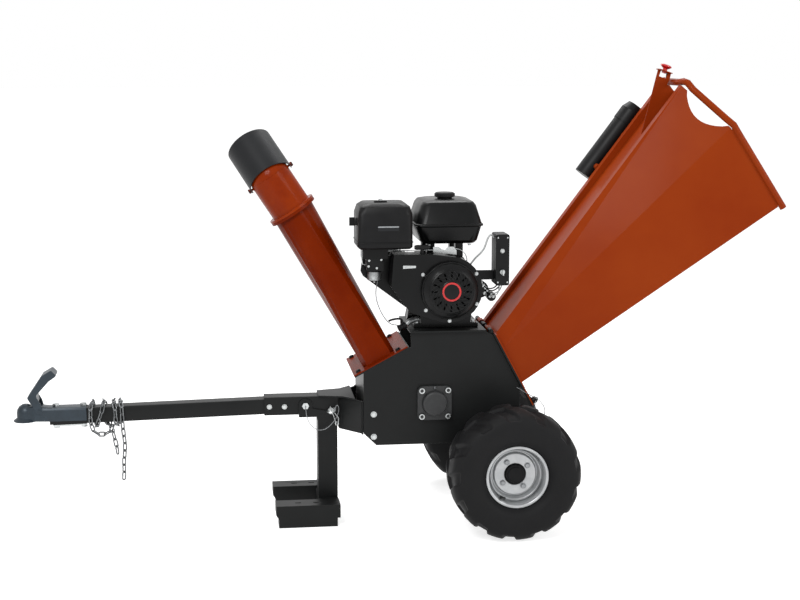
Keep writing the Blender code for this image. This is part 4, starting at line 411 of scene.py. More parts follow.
def finish(name, tones, patch_mm, grain_mm, grain_depth_mm, metallic, roughness, spread,
           coat=0.0, coat_roughness=0.1, specular=0.5):
    """A surface whose colour and roughness drift over patches, with a fine grain in its bump.

    A broad noise blends the two tones and moves the roughness by half the spread either way. A noise
    of the grain's size gives the bump.
    """
    material = bpy.data.materials.new(name)
    material.use_nodes = True
    tree = material.node_tree
    shader = tree.nodes["Principled BSDF"]
    place = add(tree, "ShaderNodeTexCoord").outputs["Object"]
    patches = add(tree, "ShaderNodeTexNoise", {"Scale": 1000 / patch_mm, "Detail": 4.0, "Roughness": 0.6},
                  {"Vector": place})
    ramp = add(tree, "ShaderNodeValToRGB", None, {"Fac": patches.outputs["Fac"]})
    ramp.color_ramp.elements[0].position = 0.35
    ramp.color_ramp.elements[1].position = 0.65
    ramp.color_ramp.elements[0].color = linear(tones[0])
    ramp.color_ramp.elements[1].color = linear(tones[1])
    limits = {"From Min": 0.3, "From Max": 0.7,
              "To Min": roughness - spread / 2, "To Max": roughness + spread / 2}
    rough = add(tree, "ShaderNodeMapRange", limits, {"Value": patches.outputs["Fac"]})
    grain = add(tree, "ShaderNodeTexNoise", {"Scale": 1000 / grain_mm, "Detail": 2.0}, {"Vector": place})
    bump = add(tree, "ShaderNodeBump", {"Strength": 1.0, "Distance": grain_depth_mm * MM},
               {"Height": grain.outputs["Fac"]})
    tree.links.new(ramp.outputs["Color"], shader.inputs["Base Color"])
    tree.links.new(rough.outputs["Result"], shader.inputs["Roughness"])
    tree.links.new(bump.outputs["Normal"], shader.inputs["Normal"])
    shader.inputs["Metallic"].default_value = metallic
    shader.inputs["Specular IOR Level"].default_value = specular
    shader.inputs["Coat Weight"].default_value = coat
    shader.inputs["Coat Roughness"].default_value = coat_roughness
    return material


# Powder coat on steel plate: satin black with a faint orange peel of about 2 mm
FRAME_BLACK = finish("black_powder_coat", ("#161717", "#1a1b1b"), 120, 1.6, 0.02, 0.0, 0.4, 0.06,
                     specular=0.16)
# Gloss enamel on sheet steel: deep orange, with a soft clear top and slight waviness of the sheet
ORANGE = finish("orange_gloss_enamel", ("#8f320c", "#993b10"), 420, 90, 0.3, 0.0, 0.34, 0.04,
                coat=0.03, coat_roughness=0.1, specular=0.04)
# The same enamel on the lower chute, with painted shade: its tones are darkened to stand in for the shade the
# chute lies in
SHADED_CHUTE_ORANGE = finish("orange_enamel_painted_shade_on_chute", ("#6d1c00", "#7a2402"), 160, 60, 0.2, 0.0, 0.26, 0.04,
                     coat=0.03, coat_roughness=0.08, specular=0.03)
# The enamel of the swivelling tube, with sharper lights on its round side; its tones are a darker copy of the
# hopper's, painted shade
SHADED_TUBE_ORANGE = finish("orange_enamel_painted_shade_on_tube", ("#842804", "#943306"), 90, 45, 0.3, 0.0, 0.2, 0.04,
                     coat=0.04, coat_roughness=0.05, specular=0.06)
# Grey-blue hammer paint on the pressed coupler
COUPLER = finish("coupler_blue_grey_paint", ("#222c34", "#29343d"), 30, 3.0, 0.05, 0.35, 0.36, 0.1)
# Bright zinc plating on fasteners: pale, slightly cloudy
ZINC = finish("bright_zinc_plate", ("#a9acad", "#c6c9c8"), 6, 0.8, 0.01, 1.0, 0.28, 0.16)
# Brushed trim on the air box, even enough to stay calm from afar
TRIM = finish("satin_trim", ("#8d9092", "#94979a"), 60, 9.0, 0.002, 0.6, 0.42, 0.02)
# Turned and ground steel
STEEL = finish("ground_steel", ("#7c7e80", "#8d8f91"), 20, 0.5, 0.01, 1.0, 0.3, 0.1)
# Sand-cast iron, painted black on the bearing housings
CAST = finish("black_painted_cast_iron", ("#1e1f20", "#292a2b"), 14, 1.4, 0.1, 0.0, 0.48, 0.12)
# Tyre rubber: matte, with faintly dusty patches
RUBBER = finish("tyre_rubber", ("#111112", "#171718"), 45, 1.2, 0.04, 0.0, 0.6, 0.12, specular=0.16)
# Silver wheel lacquer on the pressed rim
RIM = finish("silver_wheel_lacquer", ("#a6a8aa", "#b8babb"), 40, 1.0, 0.01, 0.5, 0.34, 0.08,
             coat=0.3, coat_roughness=0.2)
# Black paint on the forged hub
HUB = finish("black_hub_paint", ("#0b0b0c", "#121213"), 20, 1.2, 0.04, 0.0, 0.5, 0.12, specular=0.14)
# Black engine enamel on die-cast and pressed covers
ENGINE = finish("black_engine_enamel", ("#060707", "#0a0a0b"), 60, 1.5, 0.02, 0.0, 0.32, 0.06,
                coat=0.08, coat_roughness=0.15, specular=0.14)
# Bare die-cast aluminium: fine matte skin
ALLOY = finish("die_cast_aluminium", ("#8a8c8d", "#a2a4a4"), 12, 0.9, 0.05, 0.9, 0.46, 0.12)
# Black polypropylene mouldings with a spark-eroded texture
PLASTIC = finish("black_polypropylene", ("#0c0c0d", "#111112"), 50, 0.8, 0.03, 0.0, 0.42, 0.08,
                 specular=0.18)
# Dark grey polythene of the discharge hood
HOOD = finish("dark_grey_polythene", ("#1b1c1e", "#202123"), 120, 1.5, 0.02, 0.0, 0.42, 0.06,
              specular=0.2)
# Glossy red ABS of the stop button
RED = finish("red_gloss_abs", ("#c21518", "#cd1a1c"), 10, 1.0, 0.005, 0.0, 0.22, 0.04,
             coat=0.3, coat_roughness=0.1)
# Neoprene of the drive belt
BELT = finish("neoprene_belt", ("#131313", "#1d1d1d"), 8, 0.8, 0.04, 0.0, 0.75, 0.1)
# Zinc plating on the chain, dulled by handling
CHAIN_ZINC = finish("dulled_chain_zinc", ("#5f6163", "#7d7f80"), 5, 0.8, 0.01, 1.0, 0.26, 0.12)
# Pale sheath of the flexible cables
CLEAR_CABLE = finish("pale_cable_sheath", ("#b9bcbc", "#cdd0d0"), 12, 1.0, 0.01, 0.0, 0.3, 0.1)
# The finish that each of the record's material slots is shown with
SLOT_FINISH = {"black_paint": FRAME_BLACK, "orange_paint": ORANGE, "coupler_paint": COUPLER, "zinc": ZINC,
               "steel": STEEL, "cast_iron": CAST, "tyre_rubber": RUBBER, "rim_silver": RIM, "hub_black": HUB,
               "engine_black": ENGINE, "engine_alloy": ALLOY, "black_plastic": PLASTIC, "grey_plastic": HOOD,
               "red_plastic": RED, "belt_rubber": BELT}
# The record's slot that each finish belongs to, by the name of the finish
SLOT_OF_FINISH = {material.name: slot for slot, material in SLOT_FINISH.items()}
SLOT_OF_FINISH.update({TRIM.name: "zinc", CHAIN_ZINC.name: "zinc", CLEAR_CABLE.name: "grey_plastic",
                       SHADED_CHUTE_ORANGE.name: "orange_paint", SHADED_TUBE_ORANGE.name: "orange_paint"})


def finish_nodes():
    """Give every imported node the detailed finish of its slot."""
    for node, slot in SLOT_OF.items():
        NODES[node].data.materials[0] = SLOT_FINISH[slot]


def soften_nodes():
    """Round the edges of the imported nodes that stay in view."""
    # The lower chute and the tube take darker copies of the orange enamel: painted shade
    other = {"lower_chute": SHADED_CHUTE_ORANGE, "upper_chute": SHADED_TUBE_ORANGE, "carburettor": ENGINE}
    for node, edge in EDGES_MM.items():
        material = other.get(node, NODES[node].data.materials[0])
        softened(node, material, edge * MM, SHARP_DEGREES.get(node, EDGE_DEGREES))


# Wheels

# Profiles of the wheel, as (radius, height outwards along the axle)
TYRE_HALF = [(0.0893, 0.056), (0.098, 0.0655), (0.1, 0.073), (0.112, 0.0855), (0.129, 0.0922),
             (0.156, 0.0944), (0.18, 0.089), (0.1925, 0.0775), (0.1995, 0.06), (0.2022, 0.035),
             (0.2028, 0.012)]
RIM_SEAT = [(0.0889, -0.066), (0.0889, -0.04), (0.08, -0.03), (0.08, -0.004), (0.0889, 0.01)]
RIM_LIP = [(0.0889, 0.064), (0.093, 0.0668), (0.0963, 0.069), (0.0968, 0.0704), (0.0955, 0.0714),
           (0.093, 0.0716), (0.0892, 0.0706), (0.0872, 0.068)]
RIM_DISH = [(0.0862, 0.06), (0.0858, 0.038), (0.0846, 0.033), (0.083, 0.0322), (0.0815, 0.0345),
            (0.08, 0.042), (0.0786, 0.0436), (0.076, 0.044), (0.0742, 0.0425), (0.0734, 0.039),
            (0.0722, 0.024), (0.0705, 0.0205), (0.068, 0.0205), (0.0665, 0.0235), (0.0652, 0.0285),
            (0.063, 0.0305), (0.058, 0.03), (0.0345, 0.03), (0.0338, 0.0294), (0.0338, 0.0272)]
RIM_BACK = [(0.0345, 0.0268), (0.06, 0.0268), (0.064, 0.02), (0.067, 0.0175), (0.0735, 0.0175),
            (0.076, 0.029), (0.0775, 0.029), (0.0775, -0.031), (0.0855, -0.042), (0.0862, -0.069),
            (0.0885, -0.0706), (0.0955, -0.0714), (0.0963, -0.069)]
HUB_PROFILE = [(0.0126, -0.045), (0.026, -0.045), (0.028, 0.014), (0.0575, 0.0185), (0.058, 0.0262),
               (0.0318, 0.0265), (0.0305, 0.03), (0.0302, 0.0385), (0.029, 0.0398), (0.025, 0.0402),
               (0.024, 0.043), (0.018, 0.0446), (0.0, 0.045), (0.0, 0.033), (0.0126, 0.033)]
VALVE_PROFILE = [(0.0, 0.0), (0.005, 0.0), (0.0046, 0.01), (0.0036, 0.013), (0.0036, 0.026),
                 (0.0042, 0.027), (0.0042, 0.034), (0.0, 0.035)]


def smooth_step(low, high, value):
    """0 below low, 1 above high, and the cubic 3t^2 - 2t^3 between them."""
    t = np.clip((value - low) / (high - low), 0, 1)
    return t * t * (3 - 2 * t)


def on_wheel(surface, side):
    """A surface about the wheel's own axis, with z outwards, at its place on the machine."""
    return put(surface, (0.0, side * WHEEL_Y, WHEEL_Z), (0.0, side, 0.0))


def tyre_surface():
    """The tyre's section carried round, sunk between two rows of staggered lugs.

    A lug covers the first part of each pitch; the phase moves with the distance from the middle,
    so that the lugs slant. Two thin ribs stand on the sidewall.
    """
    section = [(r, h, 0.0) for r, h in TYRE_HALF] + [(r, -h, 0.0) for r, h in TYRE_HALF[::-1]]
    path = fine_path(section, 6)
    r, h = path[:, 0], path[:, 1]
    steps = LUG_COUNT * LUG_STEPS
    a = np.linspace(0, 2 * np.pi, steps, endpoint=False)[None, :]
    out = np.abs(h)[:, None]
    turns = a / (2 * np.pi) * LUG_COUNT + 0.5 * (h < 0)[:, None] + LUG_SLANT * out / TYRE_HALF_WIDTH
    phase = turns % 1.0
    along = smooth_step(0.0, 0.07, phase) * (1 - smooth_step(0.58, 0.66, phase))
    lug = along * smooth_step(0.003, 0.008, out)
    crown = smooth_step(0.176, 0.1905, r)[:, None]
    ribs = RIB_HEIGHT * sum(np.exp(-((r - radius) / RIB_WIDTH) ** 2) for radius in RIB_RADII)
    ribs = (ribs * (out[:, 0] > 0.07))[:, None] * np.sign(h)[:, None]
    size = r[:, None] - LUG_DEPTH * crown * (1 - lug)
    points = np.stack([size * np.cos(a), size * np.sin(a), (h[:, None] + ribs) * np.ones_like(a)], axis=-1)
    return points.reshape(-1, 3), grid_faces(len(r), steps, wrap_rows=True)


def wheel_bolts(side):
    """Four bolts that hold the dish to the hub."""
    bolts = []
    for angle in 0.6 + np.arange(4) * np.pi / 2:
        place = (WHEEL_BOLT_CIRCLE * math.cos(angle), WHEEL_BOLT_CIRCLE * math.sin(angle), WHEEL_BOLT_SEAT)
        bolts += [on_wheel(part, side) for part in hex_bolt(place, (0.0, 0.0, 1.0), 0.004)]
    return bolts


def tyre_valve(side):
    """The valve's stem, standing in the rim and leaning towards the axle."""
    out = np.array((math.cos(VALVE_ANGLE), math.sin(VALVE_ANGLE), 0.0))
    stem = revolved(VALVE_PROFILE, 16)
    axis = (0.0, 0.0, 1.0) - VALVE_LEAN * out
    return on_wheel(put(stem, VALVE_RADIUS * out + (0, 0, VALVE_SEAT), axis), side)


def make_wheels():
    """Tyres, rims with rolled edges, hubs, wheel bolts and valves on both sides."""
    tyre = tyre_surface()
    rim = revolved(RIM_SEAT + RIM_LIP + RIM_DISH + RIM_BACK, 96, ring=True)
    hub = revolved(HUB_PROFILE, 64, ring=True)
    for tag, side in (("near", -1), ("far", 1)):
        body = "wheel_" + tag
        item = piece("tyre_tread_" + tag, [on_wheel(tyre, side)], RUBBER, body, angle=50)
        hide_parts("tyre_" + tag)
        item = piece("rim_pressing_" + tag, [on_wheel(rim, side)], RIM, body)
        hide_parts("rim_" + tag)
        item = piece("hub_turning_" + tag, [on_wheel(hub, side)], HUB, body)
        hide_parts("hub_" + tag)
        piece("wheel_bolts_" + tag, wheel_bolts(side), STEEL, body, angle=25)
        piece("tyre_valve_" + tag, [tyre_valve(side)], BELT, body)


# Tow gear


def along_drawbar(points):
    """Points of the drooping drawbar's own frame, in the machine's frame."""
    c, s = math.cos(DROOP), math.sin(DROOP)
    x, y, z = np.asarray(points, float).T
    return np.column_stack([DROOP_X + c * x + s * z, y, SLEEVE_Z - s * x + c * z])


def tube_wrap(first, last, start_x, end_x):
    """Turns round the square tube, from one rounded corner to another: the tube's outline moved out.

    Corner 1 is near and high, 2 far and high, 3 far and low, 4 near and low. The turn advances along
    the tube at an even rate.
    """
    steps = 4
    radius = TUBE_CORNER + CHAIN_FIT + CHAIN_RADIUS
    flat = DRAWBAR / 2 - TUBE_CORNER
    centres = np.array(((-flat, -flat), (-flat, flat), (flat, flat), (flat, -flat)))
    corner = np.repeat(np.arange(first, last + 1), steps)
    part = corner + (np.tile(np.arange(steps), last + 1 - first) + 0.5) / steps
    angle = np.radians(270 - 90 * part)
    middle = centres[corner % 4]
    share = (part - first) / (last - first + 1)
    return np.column_stack([start_x + (end_x - start_x) * share, middle[:, 0] + radius * np.cos(angle),
                            middle[:, 1] + radius * np.sin(angle)])


def chain_route():
    """The safety chain's middle line in the drawbar's frame: free end, turns, loop, turns, hooked end."""
    side = DRAWBAR / 2 + CHAIN_FIT + CHAIN_RADIUS
    free_end = [(-0.525, -0.036, -0.208), (-0.523, -0.036, -0.18), (-0.522, -0.036, -0.15),
                (-0.519, -0.036, -0.125), (-0.517, -0.035, -0.1), (-0.518, -0.034, -0.075),
                (-0.52, -side, -0.05), (-0.521, -side, -0.022)]
    loop = [(-0.553, side, -0.01), (-0.554, 0.033, -0.038), (-0.56, 0.022, -0.058), (-0.572, 0.006, -0.066),
            (-0.586, -0.008, -0.066), (-0.601, -0.02, -0.06), (-0.612, -0.029, -0.046),
            (-0.618, -side, -0.022)]
    hooked_end = [(-0.566, -0.004, -side), (-0.56, -0.022, -side - 0.004), (-0.553, -0.031, -0.05),
                  (-0.548, -0.034, -0.074), (-0.543, -0.035, -0.1), (-0.54, -0.036, -0.124)]
    return np.vstack([free_end, tube_wrap(1, 6, -0.521, -0.552), loop, tube_wrap(1, 3, -0.618, -0.606),
                      tube_wrap(4, 4, -0.602, -0.596), tube_wrap(5, 7, -0.581, -0.574), hooked_end])


def spaced(path, count):
    """A number of points at even distances along a path."""
    steps = np.linalg.norm(np.diff(path, axis=0), axis=1)
    run = np.concatenate([[0], np.cumsum(steps)])
    places = np.linspace(0, run[-1], count)
    return np.column_stack([np.interp(places, run, path[:, k]) for k in range(3)]), run[-1]


def link_loop():
    """A chain link's middle line, in x and y: two half circles joined by straights."""
    steps = 20
    radius = CHAIN_RADIUS - LINK_WIRE
    straight = LINK_PITCH / 2 + LINK_WIRE - radius
    a = np.linspace(0, 2 * np.pi, steps, endpoint=False) + np.pi / steps
    x = radius * np.cos(a) + straight * np.sign(np.cos(a))
    return np.column_stack([x, radius * np.sin(a), np.zeros(steps)])


def chain_links(route, count):
    """Each link stands a quarter turn from the last, at even steps along the route."""
    places = spaced(route, 2 * count + 1)[0]
    centres = places[1::2]
    run = unit(places[2::2] - places[:-1:2])
    sides = carried_side(run, (1.0, 0.0, 0.2))
    wire, faces = swept(link_loop(), LINK_WIRE, 8, closed=True)
    links = []
    for index, (centre, direction, side) in enumerate(zip(centres, run, sides)):
        over = np.cross(direction, side)
        turn = math.radians(45 if index % 2 else -45)
        flat = math.cos(turn) * side + math.sin(turn) * over
        axes = np.array((direction, flat, np.cross(direction, flat)))
        links.append((along_drawbar(wire @ axes + centre), faces))
    return links


def make_chain():
    """The safety chain of separate links."""
    route = fine_path(chain_route(), 6)
    length = spaced(route, 2)[1]
    links = chain_links(route, int(length / LINK_PITCH))
    chain = piece("chain_links", links, CHAIN_ZINC, angle=60)
    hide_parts("safety_chain")


def stranded_cable(name, eye, slack, end, replaced):
    """A thin cable from one eye to another, along a smooth curve through its slack."""
    middle = fine_path(slack, 8)
    path = np.vstack([[eye], middle, [end]])
    cable = piece(name, [swept(path, LANYARD_RADIUS, 10)], STEEL, angle=60)
    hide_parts(replaced)


def make_lanyards():
    """The two pin cables."""
    face = -(LEG_BOLT_SEAT + GAP + LEG_BOLT_HEAD + GAP)
    top = LEG_PIN[1] + 0.002 + GAP
    ring = (LEG_PIN[0] + PIN_RING_RADIUS, -0.0518, top)
    x, z = LEG_PIVOT
    slack = [(x, face - 0.004, z), (x, -0.051, 0.356),
             (-0.6175, -0.052, 0.333), (-0.608, -0.053, 0.311), (-0.592, -0.055, 0.296),
             (-0.574, -0.057, 0.291), (-0.556, -0.058, 0.297), (-0.54, -0.059, 0.311),
             (-0.526, -0.059, 0.329), (-0.5185, -0.058, 0.346), (-0.5165, -0.057, 0.359),
             (-0.519, -0.055, 0.3685), (-0.524, -0.053, 0.3685), (ring[0], ring[1], top + 0.008)]
    stranded_cable("leg_pin_cable", (x, face, z), slack, ring, "leg_lanyard")
    plate = -SIDE_PLATE_Y - GAP
    x, z = LATCH_EYE
    slack = [(x, plate - 0.004, z), (0.05, -0.147, 0.427), (0.067, -0.15, 0.416),
             (0.088, -0.153, 0.405), (0.107, -0.155, 0.393), (0.122, -0.156, 0.377), (0.129, -0.156, 0.359),
             (0.126, -0.155, 0.343), (0.114, -0.154, 0.334), (0.102, -0.153, 0.339), (0.097, -0.152, 0.354),
             (0.099, -0.149, 0.372), np.array(LATCH_PIN) - (0, 0.005, 0)]
    stranded_cable("latch_pin_cable", (x, plate, z), slack, LATCH_PIN, "rear_lanyard")


def pin_clip():
    """The leg pin's spring clip: a straight leg, a round eye and a bowed leg."""
    steps = 17
    x, y, z = LEG_PIN[0], -0.0478, LEG_PIN[1]
    a = np.linspace(math.radians(-60), math.radians(240), steps)
    eye = np.column_stack([x + 0.018 + 0.0052 * np.cos(a), np.full(steps, y), z - 0.04 + 0.0052 * np.sin(a)])
    straight = np.array([(x - 0.0035, y, z + 0.016), (x + 0.0005, y, z + 0.001), (x + 0.0085, y, z - 0.018)])
    bowed = np.array([(x + 0.0235, y, z - 0.024), (x + 0.0165, y, z - 0.0135), (x + 0.011, y, z - 0.0045),
                      (x + 0.0115, y, z + 0.0045), (x + 0.0085, y, z + 0.0125)])
    line = fine_path(np.vstack([straight, eye[::-1], bowed]), 5)
    return swept(line, 0.0013, 12, up=(0, 1, 0))


def make_pin_parts():
    """The bolts of the drawbar's sleeve, the leg pin's clip and the cap on the latch pin."""
    bolts = []
    for side in (-1, 1):
        for x, z in ((-0.7355, 0.3651), (-0.6876, 0.3641)):
            bolts += hex_bolt((x, side * (0.03 + GAP), z), (0, side, 0), 0.0036)
    piece("sleeve_bolts", bolts, ZINC)
    piece("leg_pin_clip", [pin_clip()], ZINC, "leg_pin")
    cap = revolved([(0, 0), (0.004, 0), (0.0052, 0.001), (0.0052, 0.0026), (0.0034, 0.0042),
                    (0, 0.0048)], 24)
    centre = (LATCH_PIN[0] + 0.0065, -0.128, 0.3908)
    axis = (math.cos(OUTLET_LEAN), 0, math.sin(OUTLET_LEAN))
    piece("latch_pin_cap", [put(cap, centre, axis)], STEEL, "rear_pin")


# Hopper


def make_hopper_parts():
    """The weld between the rim and the mouth hoop, on both sides."""
    welds = []
    for side in (-1, 1):
        low = np.array(HOOP_LOW) * (1, side, 1)
        bend = np.array(HOOP_BEND) * (1, side, 1)
        along = unit(bend - low)
        out = unit(np.array((along[2], 0.0, -along[0])))
        line = np.array([low + along * run + out * 0.0008 for run in (0.004, 0.08, 0.16, 0.24, 0.286)])
        welds.append(swept(fine_path(line, 6), 0.0022, 10))
    piece("hoop_welds", welds, ORANGE, "hopper")


# Housing, chute and hood


def make_housing_bolts():
    """The bright rings on the bearing bolts, the bolts through the side plates and the grease nipple."""
    ring = revolved([(0.0052, 0), (0.009, 0), (0.0094, 0.0006), (0.0088, 0.0016), (0.006, 0.0018),
                     (0.0052, 0.001)], 24, ring=True)
    corners = [(x * BEARING_HALF_PITCH, z * BEARING_HALF_PITCH) for x in (-1, 1) for z in (-1, 1)]
    for side, name in ((-1, "near"), (1, "far")):
        outward = (0, side, 0)
        face = side * (BEARING_Y + GAP)
        rings = [put(ring, (ROTOR_X + x, face, ROTOR_Z + z), outward) for x, z in corners]
        piece("bearing_bolt_rings_" + name, rings, ZINC)
        places = [(-0.4135, side * (SIDE_PLATE_Y + GAP), z) for z in (0.356, 0.284)]
        bolt_set("plate_bolts_" + name, places, outward, 0.0042)
    nipple = revolved([(0, 0), (0.0045, 0), (0.0045, 0.003), (0.0028, 0.0035), (0.0022, 0.006),
                       (0.0032, 0.0075), (0.0026, 0.01), (0, 0.0105)], 16)
    place = (ROTOR_X, -0.1488, ROTOR_Z + 0.0462)
    piece("grease_nipple", [put(nipple, place, (0, -0.5, 1))], STEEL)


def on_collar(points):
    """Points of the chute collar's own frame, in the machine's frame."""
    c, s = math.cos(CHUTE_LEAN), math.sin(CHUTE_LEAN)
    x, y, z = np.asarray(points, float).T
    return np.column_stack([COLLAR[0] + c * x - s * z, y, COLLAR[1] + s * x + c * z])


def chute_elbow():
    """The rounded end of the swivelling tube: a zone of a sphere round the hood's pivot.

    It is highest on the near side, where the hood leaves the tube, and runs out at the pivots.
    """
    lowest, rise_degrees = 7.3, 50
    turns = np.radians(np.linspace(186, 354, 49))
    rows = np.linspace(0, 1, 17)
    height = lowest + rise_degrees * np.abs(np.sin(turns)) ** 0.6
    rise = np.radians(lowest + rows[:, None] * (height - lowest)[None, :])
    shells = []
    for radius in ELBOW_RADII:
        level = radius * np.cos(rise)
        shells.append(np.stack([level * np.cos(turns), level * np.sin(turns),
                                HOOD_PIVOT + radius * np.sin(rise)], axis=-1))
    both = np.concatenate([shells[0], shells[1][::-1]])
    faces = grid_faces(len(both), len(turns), wrap_rows=True, wrap_columns=False)
    count = len(turns)
    faces += [[k * count for k in range(len(both))], [(k + 1) * count - 1 for k in range(len(both))]]
    return on_collar(both.reshape(-1, 3)), faces


def hood_bead(degrees):
    """A bead along one edge of the hood's opening, tilted with the hood at rest."""
    radius = 0.0728
    tilt = math.radians(-35)
    a = math.radians(degrees)
    line = np.array([(radius * math.cos(a), radius * math.sin(a), z) for z in (-0.004, 0.045, 0.092, 0.139)])
    x, y, z = fine_path(line, 4).T
    c, s = math.cos(tilt), math.sin(tilt)
    return swept(on_collar(np.column_stack([x, y * c - z * s, y * s + z * c + HOOD_PIVOT])), 0.0017, 10)


def make_chute_parts():
    """The tube's rounded end, edge beads and pivot caps of the hood, bolts of the base flange."""
    # The elbow takes the tube's darker orange, painted shade
    piece("chute_elbow", [chute_elbow()], SHADED_TUBE_ORANGE, "chute")
    piece("hood_edge_beads", [hood_bead(degrees) for degrees in (171.0, 369.0)], HOOD, "hood")
    heads = []
    for side in (-1, 1):
        place = on_collar([(side * 0.0746, 0, HOOD_PIVOT)])[0]
        outward = on_collar([(side, 0, 0)])[0] - on_collar([(0, 0, 0)])[0]
        heads.append(round_head(place, outward, 0.0069, 0.0072, 0.0026))
    piece("hood_pivot_caps", heads, PLASTIC, "chute")
    c, s = math.cos(OUTLET_LEAN), math.sin(OUTLET_LEAN)
    x, z = CHUTE_FLANGE
    lift = CHUTE_FLANGE_TOP
    places = [(x + c * along - s * lift, y, z + s * along + c * lift)
              for y in (-0.115, 0.115) for along in (-0.0115, 0.13)]
    bolt_set("chute_flange_bolts", places, (-s, 0, c), 0.004, PLASTIC)


# Engine


def make_air_box_parts():
    """The trim bar with its recess, the base lip and the latch on the lid."""
    front = AIR_BOX_Y - GAP
    trim = facing(rounded_box((0.0325, 0.0021), 0.0026, 0.002, 4), -0.3685, front, 0.9485)
    piece("air_box_trim", [trim], TRIM, bevel=0.0005)
    recess = facing(rounded_box((0.0325, 0.0048), 0.0006, 0.0012, 3), -0.3685, front, 0.9405)
    piece("air_box_recess", [recess], HOOD)
    a = np.linspace(0, np.pi / 2, 7)
    corner = np.column_stack([0.0672 + 0.0185 * np.cos(a), 0.0652 + 0.0185 * np.sin(a)])
    lip = np.vstack([corner, corner[::-1] * (-1, 1), corner * (-1, -1), corner[::-1] * (1, -1)])
    loop = np.column_stack([-0.376 + lip[:, 0], -0.072 + lip[:, 1], np.full(len(lip), 0.899)])
    piece("air_box_lip", [swept(loop, 0.0016, 10, closed=True)], PLASTIC)
    points, faces = rounded_box((0.02, 0.009), 0.0045, 0.003, 3)
    latch = (points + (*AIR_BOX, 1.018 + GAP), faces)
    piece("air_box_latch", [latch], PLASTIC, bevel=0.0008)
    nut = round_head((*AIR_BOX, 1.0232), (0, 0, 1), 0.006, 0.006)
    piece("air_box_nut", [nut], ZINC)


def about_crank(radius, angle, y):
    """Points on circles round the crankshaft's axis, at a depth y."""
    return np.column_stack([CRANK[0] + radius * np.cos(angle), np.full(len(angle), y),
                            CRANK[1] + radius * np.sin(angle)])


def recoil_vanes():
    """Curved vanes between the cover's louvres, each thickest at its middle."""
    vanes = []
    t = np.linspace(0, 1, VANE_POINTS)
    for index in range(VANE_COUNT):
        angle = 2 * np.pi * (index + 0.5) / VANE_COUNT + 0.55 * t
        line = about_crank(0.0355 + 0.029 * t, angle, COVER_BACK - 0.04 - 0.0007)
        vanes.append(swept(line, 0.0011 + 0.0004 * np.sin(np.pi * t), 8, up=(0, 1, 0)))
    return vanes


def make_recoil_parts():
    """The vanes, the centre ring and disc, two beads round the cover and its screws."""
    piece("recoil_vanes", recoil_vanes(), ENGINE)
    centre = (CRANK[0], COVER_FRONT - GAP, CRANK[1])
    ring = revolved([(0.0235, 0), (0.0292, 0), (0.0296, 0.0005), (0.029, 0.0012), (0.024, 0.0012)], 48,
                    ring=True)
    piece("recoil_red_ring", [put(ring, centre, FORWARD)], RED)
    disc = revolved([(0, 0), (0.0232, 0), (0.0232, 0.0006), (0.022, 0.0009), (0, 0.0009)], 48)
    piece("recoil_plain_disc", [put(disc, centre, FORWARD)], PLASTIC)
    a = np.linspace(0, 2 * np.pi, 64, endpoint=False)
    beads = [swept(about_crank(radius, a, COVER_BACK - depth), 0.0012, 8, up=(0, 1, 0), closed=True)
             for radius, depth in ((0.0865, 0.0225), (0.069, 0.0375))]
    piece("recoil_beads", beads, ENGINE)
    places = about_crank(0.0972, np.radians((30.5, 149.5, 270.0, 332.0, 220.0)), SHROUD_Y - GAP)
    bolt_set("recoil_screws", places, FORWARD, 0.0025)


def make_tank_parts():
    """The grip round the fuel cap and the bolts of the tank's seam."""
    steps = 240
    low, high = 1.0285, 1.038
    a = np.linspace(0, 2 * np.pi, steps, endpoint=False)
    wave = 0.0008 * np.abs(np.cos(15 * a))
    levels = [(0.0313 + wave, low), (0.0318 + wave, 1.029), (0.0318 + wave, 1.0372), (0.0313 + wave, high),
              (0.0312, high), (0.0312, low)]
    rings = np.stack([np.column_stack([r * np.cos(a), r * np.sin(a), np.full(steps, z)]) for r, z in levels])
    grip = (rings.reshape(-1, 3) + (-0.174, -0.02, 0), grid_faces(len(levels), steps, wrap_rows=True))
    piece("fuel_cap_grip", [grip], PLASTIC, "fuel_cap", angle=25)
    bolt_set("tank_bolts", [(x, -0.104, 0.8865) for x in (-0.236, -0.108)], (0, 0, -1), 0.0028)


